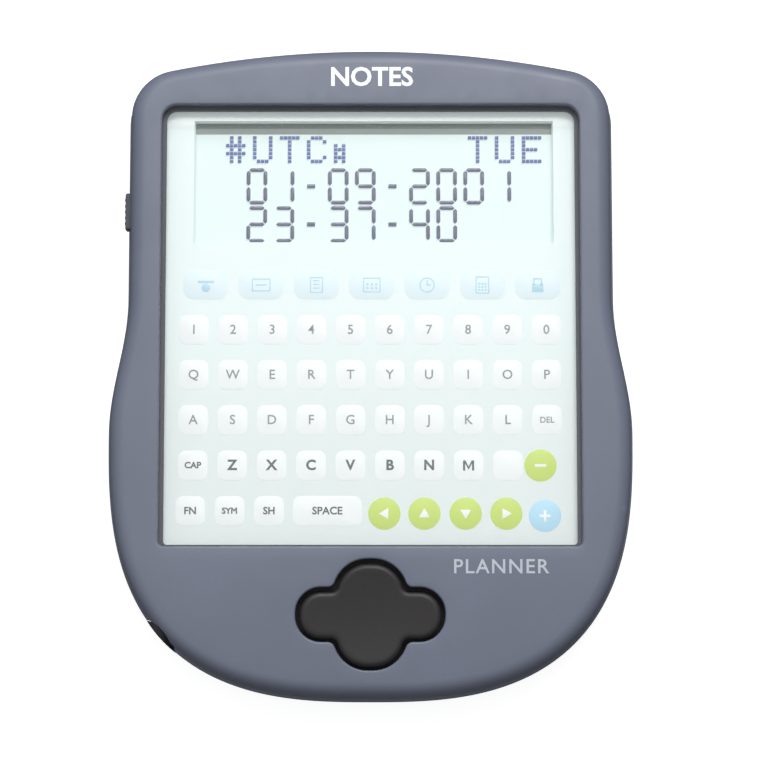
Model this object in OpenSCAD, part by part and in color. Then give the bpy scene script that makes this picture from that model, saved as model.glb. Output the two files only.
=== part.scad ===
// Pocket organiser with a touch panel, a four-way rocker pad and a stowed stylus.
// It lies on its back: +X right, +Y towards the top of the case, +Z out of the display.
// The origin is the centre of the flat back. Millimetres.

/* [Case] */
// Length of the case, from top to bottom
case_length = 104.4; // [102:0.2:107]
// Width of the straight upper part
case_width_top = 78; // [77.6:0.2:79]
// Greatest width, across the lower half
case_width_max = 83.8; // [82:0.2:85]
// Thickness from the flat back to the flat front
case_thickness = 15; // [15:0.25:16]
// Height of the parting line above the back
seam_height = 7; // [6.8:0.1:7.1]
// Side wall thickness
wall = 1.6; // [1.3:0.1:1.7]
// Thickness of the front plate
plate = 1.6; // [1.4:0.1:1.7]
// Thickness of the floor of the rear shell
floor_t = 1.5; // [1.4:0.05:1.5]
// Radius of the rounded front edge
front_radius = 2.4; // [1.8:0.1:2.8]
// Radius of the rounded back edge
back_radius = 2.5; // [1.8:0.1:2.8]

/* [Window] */
// Width of the opening in the front plate
window_w = 66.4; // [65.6:0.1:68.2]
// Top edge of the opening
window_top = 42.7; // [42.3:0.1:44]
// Bottom edge of the opening
window_bottom = -27.6; // [-27.8:0.1:-27.4]
// Width of the display aperture in the key sheet
lcd_view_w = 57.4; // [52:0.2:57.6]
// Height of the display aperture in the key sheet
lcd_view_h = 19.7; // [16:0.1:20]

/* [Rocker pad] */
// Distance of the pad's centre below the middle of the case
pad_y = -38.2; // [-39:0.1:-38]
// Length of the pad from left to right
pad_w = 22.1; // [21.6:0.1:23.8]
// Length of the pad from top to bottom
pad_h = 16; // [15:0.1:16.4]
// Gap between the pad and the front plate
pad_gap = 0.65; // [0.6:0.05:0.7]

/* [Stylus] */
// Radius of the stylus barrel
stylus_r = 1.7; // [1.4:0.05:1.75]
// Distance of the stylus to the left of the centre line
stylus_x = 33.4; // [33.2:0.1:33.6]

/* [Battery lids] */
// Radius of the round lids
lid_r = 11.95; // [11.7:0.05:12]
// Angle through which a lid turns to unlock
lid_turn = 45; // [30:5:60]

/* [Hidden] */
$fn = 48;

case_grey = [0.46, 0.49, 0.55];
dark_grey = [0.20, 0.20, 0.21];
sheet_white = [0.93, 0.96, 0.95];
clear_tint = [0.80, 0.92, 0.90, 0.4];
steel = [0.70, 0.70, 0.72];
brass = [0.80, 0.66, 0.36];

far = 60; // reaches past the case in any direction
eps = 0.01;

// Outline of the case
half_len = case_length / 2;
top_shift = 0.35;    // how much farther the top is from the origin than the bottom
top_end = half_len + top_shift;
low_end = half_len - top_shift;
half_top = case_width_top / 2;
half_max = case_width_max / 2;
wide_y = -9.4;       // height of the greatest width
straight_y = 12.6;   // where the sides become straight
low_power = 2.76;    // exponent of the superellipse that closes the bottom
top_arc_r = 163;
corner_r = 8.5;
draft = 0.25;        // how far the walls lean in by the rounded edges
seam_step = 0.55;    // how far the front shell stands back from the rear one
seam_groove = 0.35;  // chamfer under the front shell that makes the parting line a groove
ledge_bevel = 0.2;   // bevel on the rear shell's ledge at the parting line

// Crown of the front below the window
crown_y = -28;
crown_r = 180;

top_arc_y = top_end - top_arc_r;
corner_x = half_top - corner_r;
corner_y = top_arc_y + sqrt(pow(top_arc_r - corner_r, 2) - pow(corner_x, 2));
corner_end = atan2(corner_y - top_arc_y, corner_x);

low_points = [
    for (i = [0:14]) let (a = -90 + 90 * i / 14)
        [half_max * pow(cos(a), 2 / low_power),
         wide_y - (wide_y + low_end) * pow(-sin(a), 2 / low_power)]
];
flare_points = [
    for (i = [1:6]) let (t = i / 6)
        [half_max - (half_max - half_top) * (1 - cos(180 * t)) / 2,
         wide_y + (straight_y - wide_y) * t]
];
corner_points = [
    for (i = [0:5]) let (a = corner_end * i / 5)
        [corner_x + corner_r * cos(a), corner_y + corner_r * sin(a)]
];
top_points = [
    for (i = [1:5]) let (a = corner_end + (90 - corner_end) * i / 5)
        [i == 5 ? 0 : top_arc_r * cos(a), top_arc_y + top_arc_r * sin(a)]
];
right_half = concat(low_points, flare_points, corner_points, top_points);
outline = concat(
    right_half,
    [for (i = [len(right_half) - 2:-1:1]) [-right_half[i].x, right_half[i].y]]
);
n_outline = len(outline);

// Stack under the front plate, each the top face of its layer
gasket_z = case_thickness - plate - 0.1;
film_z = gasket_z - 0.4;
glass_z = film_z - 0.2;
sheet_z = glass_z - 1.1;
frame_z = sheet_z - 0.25;
frame_low_z = frame_z - 1.2;
polarizer_z = sheet_z - 1.7;
top_glass_z = polarizer_z - 0.2;
bottom_glass_z = top_glass_z - 0.7;
reflector_z = bottom_glass_z - 0.7;
board_z = 6.6;
board_t = 1;
board_low_z = board_z - board_t;
board_left = -29.9;

// Panel and display
panel_left = -32.5;
panel_right = 32.5;
panel_top = 41.9;
panel_bottom = -27.3;
glass_half = 35.1;
glass_top = 45.2;
glass_bottom = -29.2;
lcd_x = 0.5;
lcd_y = 30.85;
lcd_w = 60.6;
lcd_h = 24.6;
strip_w = 1.8;

// Rocker pad. Heights from pad_top to flange_low are in the pad's own tilted frame.
pad_tilt = 3.3;       // slope of the crowned front at the pad
pad_frame_z = 12;
pad_top = 3.2;
flange_top = -0.4;
flange_low = -1.1;
pad_bar_w = 10.4;
pad_bar_h = 7.2;
pad_corner = 1.2;
flange_lip = 0.8;
flange_reach = 8.55;  // keeps the flange clear of the touch panel above it
ball_z = 9.8;         // the pad rocks about the centre of this ball
ball_r = 1.3;
ball_fit = 0.05;
dome_x = 8.2;
dome_y = 5.2;
dome_skin = 0.3;
membrane_t = 0.6;
dome_r_low = 2.5;
dome_r_top = 1.6;
stem_low = 7.3;

// Stylus and its silo. The mouth is where the silo meets the outline.
stylus_z = 3.7;
silo_r = 1.9;
silo_half = 2.55;
silo_top = 6.1;
silo_end = 31.4;
mouth_y = -41.5;
mouth_slope = 48;
scoop_r = 5.6;
scoop_out = 4.3;      // distance of the scoop's centre outside the outline
head_cap_r = 2.1;     // the head widens to this where it fills the notch
head_cap_fit = 0.3;
head_proud = 0.35;    // how far the head stands out of the outline
head_end_y = -33;
tip_start_y = 26;
tip_len = 4.2;
tip_r = 0.5;

// Side button
button_y = 26.2;
button_len = 6;
button_low = 8.3;
button_top = 10.5;
button_fit = 0.15;
button_proud = 0.3;
button_lip = 0.35;
button_inner_x = -half_top + draft + wall;
switch_x = -29.9;
switch_top = 8;
plunger_z = 7.45;
plunger_half = 0.35;

// Battery lids and cells
main_cell_xy = [-13, -12];
backup_cell_xy = [15.6, -12];
cell_places = [main_cell_xy, backup_cell_xy];
lid_low = 0.15;
lid_t = 1.2;
lid_fit = 0.15;
lug_low = floor_t + 0.05;
lug_t = 0.75;
lug_r = lid_r + 0.9;
lug_angle = 24;
collar_r = 13.15;
collar_t = 1.05;
collar_top = 5;
cell_r = 10;
cell_low = 1.45;
cell_t = 3.2;

// Screws
housing_screw_xy = [[-34.2, 38], [34.2, 38], [-24, -41], [24, -41]];
board_screw_xy = [[-26, 12], [28, 12], [-26, -23], [28, -23]];
counterbore_r = 1.9;
counterbore_z = 1.8;

buzzer_xy = [20.5, 26];
reset_xy = [30, 6];
reset_low = 3.6;
crystal_at = [2, 8.1];
crystal_r = 1.1;
capacitor_at = [31, -6];
capacitor_r = 1.6;
chip_at = [[0, 2], [14, -8], [-14, -10]];
chip_r = [4.6, 3.6, 3.6];
chip_h = 1.3;
label_xy = [-9.5, 26];
label_size = [34, 16];

// ---- shared shapes ----

function outward(i) =
    let (d = outline[(i + 1) % n_outline] - outline[(i + n_outline - 1) % n_outline])
    [d.y, -d.x] / norm(d);
function ring(inset) = [for (i = [0:n_outline - 1]) outline[i] - inset * outward(i)];
function shrunk(points, s) = [for (p = points) p * s];
function at_z(points, z) = [for (p = points) [p.x, p.y, z]];
function face_z(y) = case_thickness - (y < crown_y ? pow(crown_y - y, 2) / (2 * crown_r) : 0);
function under_face(points, depth) = [for (p = points) [p.x, p.y, face_z(p.y) - depth]];
// Corners in degrees: 180 lower left, 270 lower right, 0 upper right, 90 upper left
function arc(x, y, r, from) = [for (i = [0:4]) let (a = from + 22.5 * i) [x + r * cos(a), y + r * sin(a)]];
function round_rect(x0, y0, x1, y1, r_low, r_top) = concat(
    arc(x0 + r_low, y0 + r_low, r_low, 180),
    arc(x1 - r_low, y0 + r_low, r_low, 270),
    arc(x1 - r_top, y1 - r_top, r_top, 0),
    arc(x0 + r_top, y1 - r_top, r_top, 90)
);

// Solid between rings of equal length, listed from the lowest to the highest
module loft(rings) {
    n = len(rings[0]);
    m = len(rings);
    sides = [
        for (k = [0:m - 2], i = [0:n - 1])
            let (a = k * n + i, b = k * n + (i + 1) % n)
            each [[a, a + n, b + n], [a, b + n, b]]
    ];
    bottom = [for (i = [0:n - 1]) i];
    top = [for (i = [n - 1:-1:0]) (m - 1) * n + i];
    polyhedron([for (r = rings) each r], concat(sides, [bottom, top]));
}

module slab(points, low, high) {
    translate([0, 0, low]) linear_extrude(high - low) polygon(points);
}

module block(x0, x1, y0, y1, z0, z1) {
    translate([x0, y0, z0]) cube([x1 - x0, y1 - y0, z1 - z0]);
}

module post(xy, r, low, high) {
    translate([xy.x, xy.y, low]) cylinder(r = r, h = high - low);
}

module tube(xy, r_in, r_out, low, high) {
    difference() {
        post(xy, r_out, low, high);
        post(xy, r_in, low - 1, high + 1);
    }
}

// Clover of the rocker pad, grown by a margin
module clover(margin) {
    offset(r = -pad_corner, $fn = 32) offset(delta = pad_corner) offset(r = margin, $fn = 32) {
        offset(r = 3.4, $fn = 32) square([pad_w - 6.8, pad_bar_h - 6.8], center = true);
        offset(r = 4.8, $fn = 32) square([pad_bar_w - 9.6, pad_h - 9.6], center = true);
    }
}

// Places children in the pad's tilted frame
module at_pad() {
    translate([0, pad_y, pad_frame_z]) rotate([pad_tilt, 0, 0]) children();
}

// Notch in the case's edge that lets a fingernail catch the stylus, shrunk by fit all round
module stylus_scoop(fit = 0) {
    translate([-stylus_x - scoop_out * sin(mouth_slope), mouth_y - scoop_out * cos(mouth_slope), stylus_z]) {
        sphere(r = scoop_r - fit);
        cylinder(r = scoop_r - fit, h = far);
    }
}

module pan_screw(xy, head_low, head_r, head_t, shank_r, tip) {
    difference() {
        union() {
            post(xy, head_r, head_low, head_low + head_t);
            post(xy, shank_r, head_low + head_t - eps, tip);
        }
        for (a = [0, 90])
            translate([xy.x, xy.y, head_low]) rotate([0, 0, a])
                cube([head_r * 1.2, head_r * 0.28, head_t], center = true);
    }
}

// ---- shells ----

front_outer = concat(
    [
        at_z(ring(seam_step + seam_groove), seam_height),
        at_z(ring(seam_step), seam_height + seam_groove)
    ],
    [
        for (a = [0:22.5:90])
            under_face(ring(seam_step + draft + front_radius * (1 - cos(a))), front_radius * (1 - sin(a)))
    ],
    [
        for (s = [0.93, 0.86, 0.79, 0.72, 0.64, 0.55])
            under_face(shrunk(ring(seam_step + draft + front_radius), s), 0)
    ]
);
front_inner = concat(
    [at_z(ring(draft + wall), seam_height - 1)],
    [for (s = [1, 0.86, 0.72, 0.55]) under_face(shrunk(ring(draft + wall), s), plate)]
);
rear_outer = concat(
    [for (a = [0:22.5:90]) at_z(ring(draft + back_radius * (1 - sin(a))), back_radius * (1 - cos(a)))],
    [at_z(ring(0), seam_height - ledge_bevel), at_z(ring(ledge_bevel), seam_height)]
);
rear_inner = [
    at_z(ring(draft + wall + 1.4), floor_t),
    at_z(ring(draft + wall), floor_t + 1.4),
    at_z(ring(draft + wall), seam_height + 1)
];

module front_bosses() {
    for (xy = housing_screw_xy) {
        upper = xy.y > 0;
        post(xy, 2.2, seam_height - eps, upper ? frame_low_z - 0.15 : case_thickness - plate / 2);
        if (upper)
            block(min(xy.x, sign(xy.x) * half_top), max(xy.x, sign(xy.x) * half_top),
                  xy.y - 0.8, xy.y + 0.8, seam_height - eps, frame_low_z - 0.15);
    }
}

module button_opening() {
    block(-far, -half_top + 3, button_y - button_len / 2 - button_fit, button_y + button_len / 2 + button_fit,
          button_low - button_fit, button_top + button_fit);
}

module front_housing() {
    color(case_grey) difference() {
        loft(front_outer);
        difference() {
            loft(front_inner);
            front_bosses();
        }
        slab(round_rect(-window_w / 2, window_bottom, window_w / 2, window_top, 0.9, 2.4),
             case_thickness - plate - 1, case_thickness + 1);
        translate([0, pad_y, case_thickness - plate - 2]) linear_extrude(far) clover(pad_gap);
        button_opening();
        for (xy = housing_screw_xy) post(xy, 1, seam_height - 1, 9.6);
        stylus_scoop();
    }
}

module rear_features() {
    block(-stylus_x - silo_half, -stylus_x + silo_half, -far, silo_end + 1.4, 0, silo_top);
    for (xy = housing_screw_xy) post(xy, 2.4, 0, far);
    for (xy = cell_places) tube(xy, collar_r, collar_r + collar_t, 0, collar_top);
    tube(buzzer_xy, 9.4, 11.4, 0, 1.9);
    tube(buzzer_xy, 10.3, 11.4, 0, 3);
}

module lid_opening(xy) {
    post(xy, lid_r + lid_fit, -1, floor_t + 1);
    translate([xy.x, xy.y, -1])
        for (a = [0, 180])
            rotate([0, 0, a - lid_turn - lug_angle / 2 - 2])
                rotate_extrude(angle = lug_angle + 4)
                    translate([lid_r - 1, 0]) square([lug_r + lid_fit - lid_r + 1, floor_t + 2]);
}

module rear_housing() {
    color(case_grey * 0.92) difference() {
        loft(rear_outer);
        difference() {
            loft(rear_inner);
            rear_features();
        }
        translate([-stylus_x, silo_end, stylus_z]) rotate([90, 0, 0])
            cylinder(r = silo_r, h = far + silo_end);
        stylus_scoop();
        for (xy = housing_screw_xy) {
            post(xy, counterbore_r, -1, counterbore_z);
            post(xy, 1.15, 0, far);
        }
        for (xy = cell_places) lid_opening(xy);
        for (a = [0:72:288])
            translate(buzzer_xy) rotate([0, 0, a]) post([3, 0], 0.6, -1, 3);
        post(reset_xy, 1.1, -1, 3);
        translate([label_xy.x, label_xy.y, 0]) cube([label_size.x, label_size.y, 0.4], center = true);
    }
}

// ---- touch panel and display ----

module panel_gasket() {
    color("black") translate([0, 0, film_z]) linear_extrude(gasket_z - film_z) difference() {
        polygon(round_rect(-glass_half, glass_bottom, glass_half, glass_top, 1.5, 2.5));
        polygon(round_rect(panel_left, panel_bottom, panel_right, panel_top, 0.6, 1.6));
    }
}

module touch_layer(low, high) {
    slab(round_rect(-glass_half, glass_bottom, glass_half, glass_top, 1.5, 2.5), low, high);
}

module touch_film() {
    color(clear_tint) touch_layer(glass_z, film_z);
}

module touch_glass() {
    color(clear_tint) touch_layer(sheet_z, glass_z);
}

module touch_tail() {
    color("darkorange") {
        block(14, 24, glass_bottom - 0.15, -28.6, sheet_z - 0.15, sheet_z);
        block(14, 24, glass_bottom - 0.15, glass_bottom, 7.4, sheet_z);
        block(14, 24, glass_bottom - 0.15, -27.5, 7.4, 7.55);
    }
}

module touch_connector() {
    color("ivory") block(13, 25, -27.5, -24.3, board_z, 8);
}

module lcd_window(low, high, grow) {
    block(lcd_x - lcd_view_w / 2 - grow, lcd_x + lcd_view_w / 2 + grow,
          lcd_y - lcd_view_h / 2 - grow, lcd_y + lcd_view_h / 2 + grow, low, high);
}

module key_sheet() {
    color(sheet_white) difference() {
        slab(round_rect(-glass_half, -28.4, glass_half, glass_top, 0.5, 2.5), frame_z, sheet_z);
        lcd_window(frame_z - 1, sheet_z + 1, 0);
    }
}

module lcd_plate(low, high, grow) {
    block(lcd_x - lcd_w / 2 - grow, lcd_x + lcd_w / 2 + grow,
          lcd_y - lcd_h / 2 - grow, lcd_y + lcd_h / 2 + grow, low, high);
}

module display_frame() {
    color("ivory") difference() {
        union() {
            slab(round_rect(-34.8, -28.2, 34.8, glass_top - 0.1, 0.5, 2.4), frame_low_z, frame_z);
            lcd_plate(reflector_z, frame_low_z + eps, 0.75);
            for (xy = board_screw_xy) post(xy, 2, board_z, frame_low_z + eps);
        }
        lcd_plate(reflector_z - 1, frame_low_z - 0.1, 0.15);
        lcd_window(reflector_z, frame_z + 1, 0.3);
        for (xy = board_screw_xy) post(xy, 0.8, board_z - 1, 9.9);
    }
}

module lcd_polarizer() {
    color([0.80, 0.86, 0.82]) lcd_plate(top_glass_z, polarizer_z, -0.8);
}

module lcd_top_glass() {
    color(clear_tint) lcd_plate(bottom_glass_z, top_glass_z, 0);
}

module lcd_bottom_glass() {
    color(clear_tint) lcd_plate(reflector_z, bottom_glass_z, 0);
}

module lcd_reflector() {
    color(steel) lcd_plate(reflector_z - 0.2, reflector_z, -2.4);
}

module lcd_connector_strips() {
    color("pink")
        for (y = [lcd_y - lcd_h / 2 + 0.2, lcd_y + lcd_h / 2 - 0.2 - strip_w])
            block(lcd_x - 28, lcd_x + 28, y, y + strip_w, board_z, reflector_z);
}

// ---- circuit board ----

module main_board() {
    color("darkgreen") difference() {
        translate([0, 0, board_low_z]) linear_extrude(board_t) intersection() {
            polygon(ring(draft + wall + 1.2));
            translate([board_left, -far]) square(2 * far);
        }
        for (xy = housing_screw_xy) post(xy, 2.8, 0, far);
        for (xy = board_screw_xy) post(xy, 1, 0, far);
    }
}

module chip_covers() {
    color("black")
        for (i = [0:2]) intersection() {
            ball = 2 * chip_r[i];
            translate([chip_at[i].x, chip_at[i].y, board_z + chip_h - ball]) sphere(r = ball);
            post(chip_at[i], far, board_z, far);
        }
}

module board_parts() {
    color("tan") {
        for (i = [0:6]) block(-22 + 5 * i, -20 + 5 * i, 12.5, 13.7, board_z, board_z + 0.9);
        for (i = [0:4]) block(24, 26, -16 + 4 * i, -14.8 + 4 * i, board_z, board_z + 0.8);
        for (i = [0:3]) block(-22 + 4 * i, -20.8 + 4 * i, -20, -18, board_z, board_z + 0.6);
    }
}

module crystal_can() {
    color(steel) translate([crystal_at.x, crystal_at.y, board_z + crystal_r])
        rotate([0, 90, 0]) cylinder(r = crystal_r, h = 6);
}

module buffer_capacitor() {
    color("navy") translate([capacitor_at.x, capacitor_at.y, board_z + capacitor_r])
        rotate([90, 0, 0]) cylinder(r = capacitor_r, h = 6);
}

// ---- rocker pad ----

module nav_pad() {
    color(dark_grey) difference() {
        at_pad() {
            translate([0, 0, flange_top - eps]) linear_extrude(pad_top - flange_top + eps) clover(0);
            translate([0, 0, flange_low]) linear_extrude(flange_top - flange_low) intersection() {
                clover(pad_gap + flange_lip);
                translate([-far, flange_reach - 2 * far]) square(2 * far);
            }
        }
        translate([0, pad_y, ball_z]) sphere(r = ball_r + ball_fit);
    }
}

module nav_pivot() {
    color("gray") translate([0, pad_y, 0]) {
        translate([0, 0, ball_z]) sphere(r = ball_r);
        translate([0, 0, stem_low]) cylinder(r = 0.8, h = ball_z - stem_low);
    }
}

dome_places = [[dome_x, 0], [-dome_x, 0], [0, dome_y], [0, -dome_y]];
function dome_top(d) = pad_frame_z + flange_low / cos(pad_tilt) + d.y * tan(pad_tilt) - 0.2;

module nav_membrane() {
    color("lightgray") difference() {
        union() {
            block(-11.5, 11.5, pad_y - 8.5, pad_y + 8.3, board_z, board_z + membrane_t);
            for (d = dome_places)
                translate([d.x, pad_y + d.y, board_z + membrane_t - eps])
                    cylinder(r1 = dome_r_low, r2 = dome_r_top, h = dome_top(d) - board_z - membrane_t + eps);
        }
        for (d = dome_places)
            translate([d.x, pad_y + d.y, board_z - eps])
                cylinder(r1 = dome_r_low - dome_skin, r2 = dome_r_top - dome_skin, h = 2.2);
    }
}

module nav_contact_pills() {
    color("black")
        for (d = dome_places) translate([d.x, pad_y + d.y, board_z + 1.8]) cylinder(r = 1.1, h = 0.39);
}

// ---- side button and reset ----

module side_button() {
    color(dark_grey) {
        block(-half_top - button_proud, button_inner_x + 0.5,
              button_y - button_len / 2, button_y + button_len / 2, button_low, button_top);
        block(button_inner_x + 0.06, button_inner_x + 0.8,
              button_y - button_len / 2 - button_lip, button_y + button_len / 2 + button_lip,
              plunger_z - plunger_half, button_top + button_lip);
        block(button_inner_x + 0.5, switch_x - 0.7, button_y - 1, button_y + 1,
              plunger_z - plunger_half, plunger_z + plunger_half);
    }
}

module side_switch() {
    color("silver") difference() {
        block(switch_x, switch_x + 3, button_y - 2.2, button_y + 2.2, board_z, switch_top);
        block(switch_x - 1, switch_x + 1, button_y - 0.8, button_y + 0.8,
              plunger_z - plunger_half - 0.05, plunger_z + plunger_half + 0.05);
    }
}

module side_switch_plunger() {
    color("black") block(switch_x - 0.7, switch_x + 0.4, button_y - 0.7, button_y + 0.7,
                         plunger_z - plunger_half, plunger_z + plunger_half);
}

module reset_switch() {
    color("silver") difference() {
        block(reset_xy.x - 2, reset_xy.x + 2, reset_xy.y - 2, reset_xy.y + 2, reset_low, board_low_z);
        post(reset_xy, 0.95, reset_low - 1, reset_low + 1);
    }
}

module reset_plunger() {
    color("black") post(reset_xy, 0.85, reset_low - 0.7, reset_low + 0.5);
}

// ---- buzzer ----

module buzzer_plate() {
    color(brass) post(buzzer_xy, 10, 1.9, 2.1);
}

module buzzer_ceramic() {
    color("white") post(buzzer_xy, 7, 2.1, 2.3);
}

module buzzer_springs() {
    color(steel) {
        tube(buzzer_xy + [3.5, 0], 0.7, 1.1, 2.3, board_low_z);
        tube(buzzer_xy - [8.4, 0], 0.7, 1.1, 2.1, board_low_z);
    }
}

// ---- batteries ----

module battery_lid(xy) {
    color(case_grey * 0.8) translate([xy.x, xy.y, 0]) difference() {
        union() {
            post([0, 0], lid_r, lid_low, lid_low + lid_t);
            tube([0, 0], cell_r + 0.3, lid_r - 0.15, lid_low + lid_t - eps, 3.6);
            for (a = [0, 180])
                rotate([0, 0, a - lug_angle / 2]) rotate_extrude(angle = lug_angle)
                    translate([lid_r - 0.6, lug_low]) square([lug_r - lid_r + 0.6, lug_t]);
        }
        translate([0, 0, lid_low]) cube([13, 1.8, 1], center = true);
    }
}

module main_battery_lid() {
    battery_lid(main_cell_xy);
}

module backup_battery_lid() {
    battery_lid(backup_cell_xy);
}

module coin_cell(xy) {
    color(steel) {
        post(xy, cell_r, cell_low, cell_low + cell_t - 0.6);
        post(xy, cell_r - 1.2, cell_low + cell_t - 0.6 - eps, cell_low + cell_t);
    }
}

module main_cell() {
    coin_cell(main_cell_xy);
}

module backup_cell() {
    coin_cell(backup_cell_xy);
}

module cell_centre_springs() {
    color(brass)
        for (xy = cell_places) translate([xy.x, xy.y, 0]) {
            block(3, 6, -1.5, 1.5, board_low_z - 0.2, board_low_z);
            translate([4, -1.5, board_low_z - 0.2]) rotate([0, -6, 0])
                translate([-7, 0, 0]) cube([7, 3, 0.15]);
        }
}

module cell_side_contacts() {
    color(brass)
        for (xy = cell_places) translate([xy.x, xy.y, 0]) {
            block(-2, 2, -cell_r - 0.35, -cell_r - 0.1, 3.8, board_low_z);
            block(-2, 2, -cell_r - 2, -cell_r - 0.1, board_low_z - 0.2, board_low_z);
        }
}

// ---- stylus ----

module along_stylus(from) {
    translate([-stylus_x, from, stylus_z]) rotate([-90, 0, 0]) children();
}

module stylus_barrel() {
    color("silver") along_stylus(head_end_y) cylinder(r = stylus_r, h = tip_start_y - head_end_y);
}

module stylus_tip() {
    color("black") {
        along_stylus(tip_start_y) cylinder(r1 = stylus_r, r2 = tip_r, h = tip_len);
        along_stylus(tip_start_y + tip_len) sphere(r = tip_r);
    }
}

module stylus_head() {
    color("black") difference() {
        union() {
            along_stylus(mouth_y - 5) cylinder(r = stylus_r + 0.08, h = head_end_y - mouth_y + 5);
            intersection() {
                along_stylus(mouth_y - 5) cylinder(r = head_cap_r, h = 10);
                stylus_scoop(head_cap_fit);
            }
        }
        translate([-stylus_x, mouth_y - head_proud / cos(mouth_slope), stylus_z])
            rotate([0, 0, -mouth_slope]) translate([-10, -20, -10]) cube(20);
    }
}

// ---- fasteners and label ----

module housing_screws() {
    color(steel) for (xy = housing_screw_xy) pan_screw(xy, 0.4, 1.7, 1.3, 0.95, 9.2);
}

module board_screws() {
    color(steel) for (xy = board_screw_xy) pan_screw(xy, board_low_z - 0.9, 1.5, 0.9, 0.75, 9.4);
}

module back_label() {
    color("gainsboro") translate([label_xy.x, label_xy.y, 0.13])
        cube([label_size.x - 0.4, label_size.y - 0.4, 0.12], center = true);
}

front_housing();
rear_housing();
panel_gasket();
touch_film();
touch_glass();
touch_tail();
touch_connector();
key_sheet();
display_frame();
lcd_polarizer();
lcd_top_glass();
lcd_bottom_glass();
lcd_reflector();
lcd_connector_strips();
main_board();
chip_covers();
board_parts();
crystal_can();
buffer_capacitor();
nav_pad();
nav_pivot();
nav_membrane();
nav_contact_pills();
side_button();
side_switch();
side_switch_plunger();
reset_switch();
reset_plunger();
buzzer_plate();
buzzer_ceramic();
buzzer_springs();
main_battery_lid();
backup_battery_lid();
main_cell();
backup_cell();
cell_centre_springs();
cell_side_contacts();
stylus_barrel();
stylus_tip();
stylus_head();
housing_screws();
board_screws();
back_label();
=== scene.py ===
"""Looks of the pocket organiser: camera, materials, shells, panel, prints, display, moving parts and studio.

Mesh code works in millimetres in the frame of the CAD model; MM turns it into metres.
"""

import math

import bmesh
import bpy
import numpy as np
from mathutils import Matrix, Vector
from mathutils.geometry import delaunay_2d_cdt


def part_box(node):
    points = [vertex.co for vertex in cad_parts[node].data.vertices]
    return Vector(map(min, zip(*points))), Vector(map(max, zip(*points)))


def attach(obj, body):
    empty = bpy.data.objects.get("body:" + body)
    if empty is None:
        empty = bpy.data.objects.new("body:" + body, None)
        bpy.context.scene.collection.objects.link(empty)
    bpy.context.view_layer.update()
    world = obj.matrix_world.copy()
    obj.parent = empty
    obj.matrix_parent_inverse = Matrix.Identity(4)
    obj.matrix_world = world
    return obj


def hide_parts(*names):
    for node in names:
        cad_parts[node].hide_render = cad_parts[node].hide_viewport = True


MM = 0.001
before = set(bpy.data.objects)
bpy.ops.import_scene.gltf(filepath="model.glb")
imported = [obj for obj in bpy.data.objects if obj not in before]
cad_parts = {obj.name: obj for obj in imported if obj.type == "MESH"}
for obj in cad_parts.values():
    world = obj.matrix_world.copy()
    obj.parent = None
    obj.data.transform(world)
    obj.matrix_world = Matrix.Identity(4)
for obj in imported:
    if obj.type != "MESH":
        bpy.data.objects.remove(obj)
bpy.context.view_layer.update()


def box_mm(node):
    """Lowest and highest corner of a CAD node, in millimetres."""
    low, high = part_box(node)
    return np.array(low) / MM, np.array(high) / MM


# ---------------------------------------------------------------- sizes, from the frame

FRONT_LOW, FRONT_HIGH = box_mm("front_housing")
REAR_LOW, REAR_HIGH = box_mm("rear_housing")
SEAM_Z = float(FRONT_LOW[2])
FACE_Z = float(FRONT_HIGH[2])
HALF_MAX = float(REAR_HIGH[0])
TOP_END, LOW_END = float(REAR_HIGH[1]), -float(REAR_LOW[1])
HALF_TOP = 39.0
WIDE_Y, STRAIGHT_Y = -9.4, 12.6
LOW_POWER = 2.76
TOP_ARC_R = 163.0
CORNER_R = 8.5
DRAFT = 0.25
# Profiles at the parting line: how far in from the outline, and how far from the line
SEAM_STEP = 0.55
FRONT_SEAM = [(0.90, 0.0), (0.60, 0.25), (0.55, 0.35)]
REAR_SEAM = [(0.20, 0.0), (0.09, 0.05), (0.0, 0.20)]
WALL = 1.6
PLATE = 1.6
FLOOR_T = 1.5
FRONT_R = 2.4
BACK_R = 2.5
CROWN_Y, CROWN_R = -28.0, 180.0

WINDOW = (-33.2, 33.2, -27.6, 42.7)
WINDOW_R_LOW, WINDOW_R_TOP = 0.9, 2.4

PAD_Y = -38.2
PAD_TILT = math.radians(3.3)
PAD_FRAME_Z = 12.0
PAD_HALF_W, PAD_HALF_H = 11.05, 8.0
PAD_BAR_HALF_W, PAD_BAR_HALF_H = 5.2, 3.6
PAD_SIDE_R, PAD_END_R = 3.4, 4.8
PAD_FILLET = 1.2
PAD_GAP = 0.65
PAD_ROUND, PAD_DISH, DISH_HALF_W, DISH_HALF_H = 0.8, 0.4, 11.0, 7.8
PAD_TOP, FLANGE_TOP, FLANGE_LOW, FLANGE_LIP, FLANGE_REACH = 3.2, -0.4, -1.1, 0.8, 8.55

STYLUS_X, STYLUS_Z = -33.4, 3.7
SILO_R, SILO_OUTER_R, SILO_VENT_R = 1.9, 2.45, 0.4
SILO_END, SILO_STRAIGHT_Y = 31.4, -36.0
MOUTH_Y, MOUTH_SLOPE = -41.5, math.radians(48)
SCOOP_R, SCOOP_OUT = 5.6, 4.3
CAP_R, CAP_FIT, CAP_PROUD = 2.75, 0.08, 0.15

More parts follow.
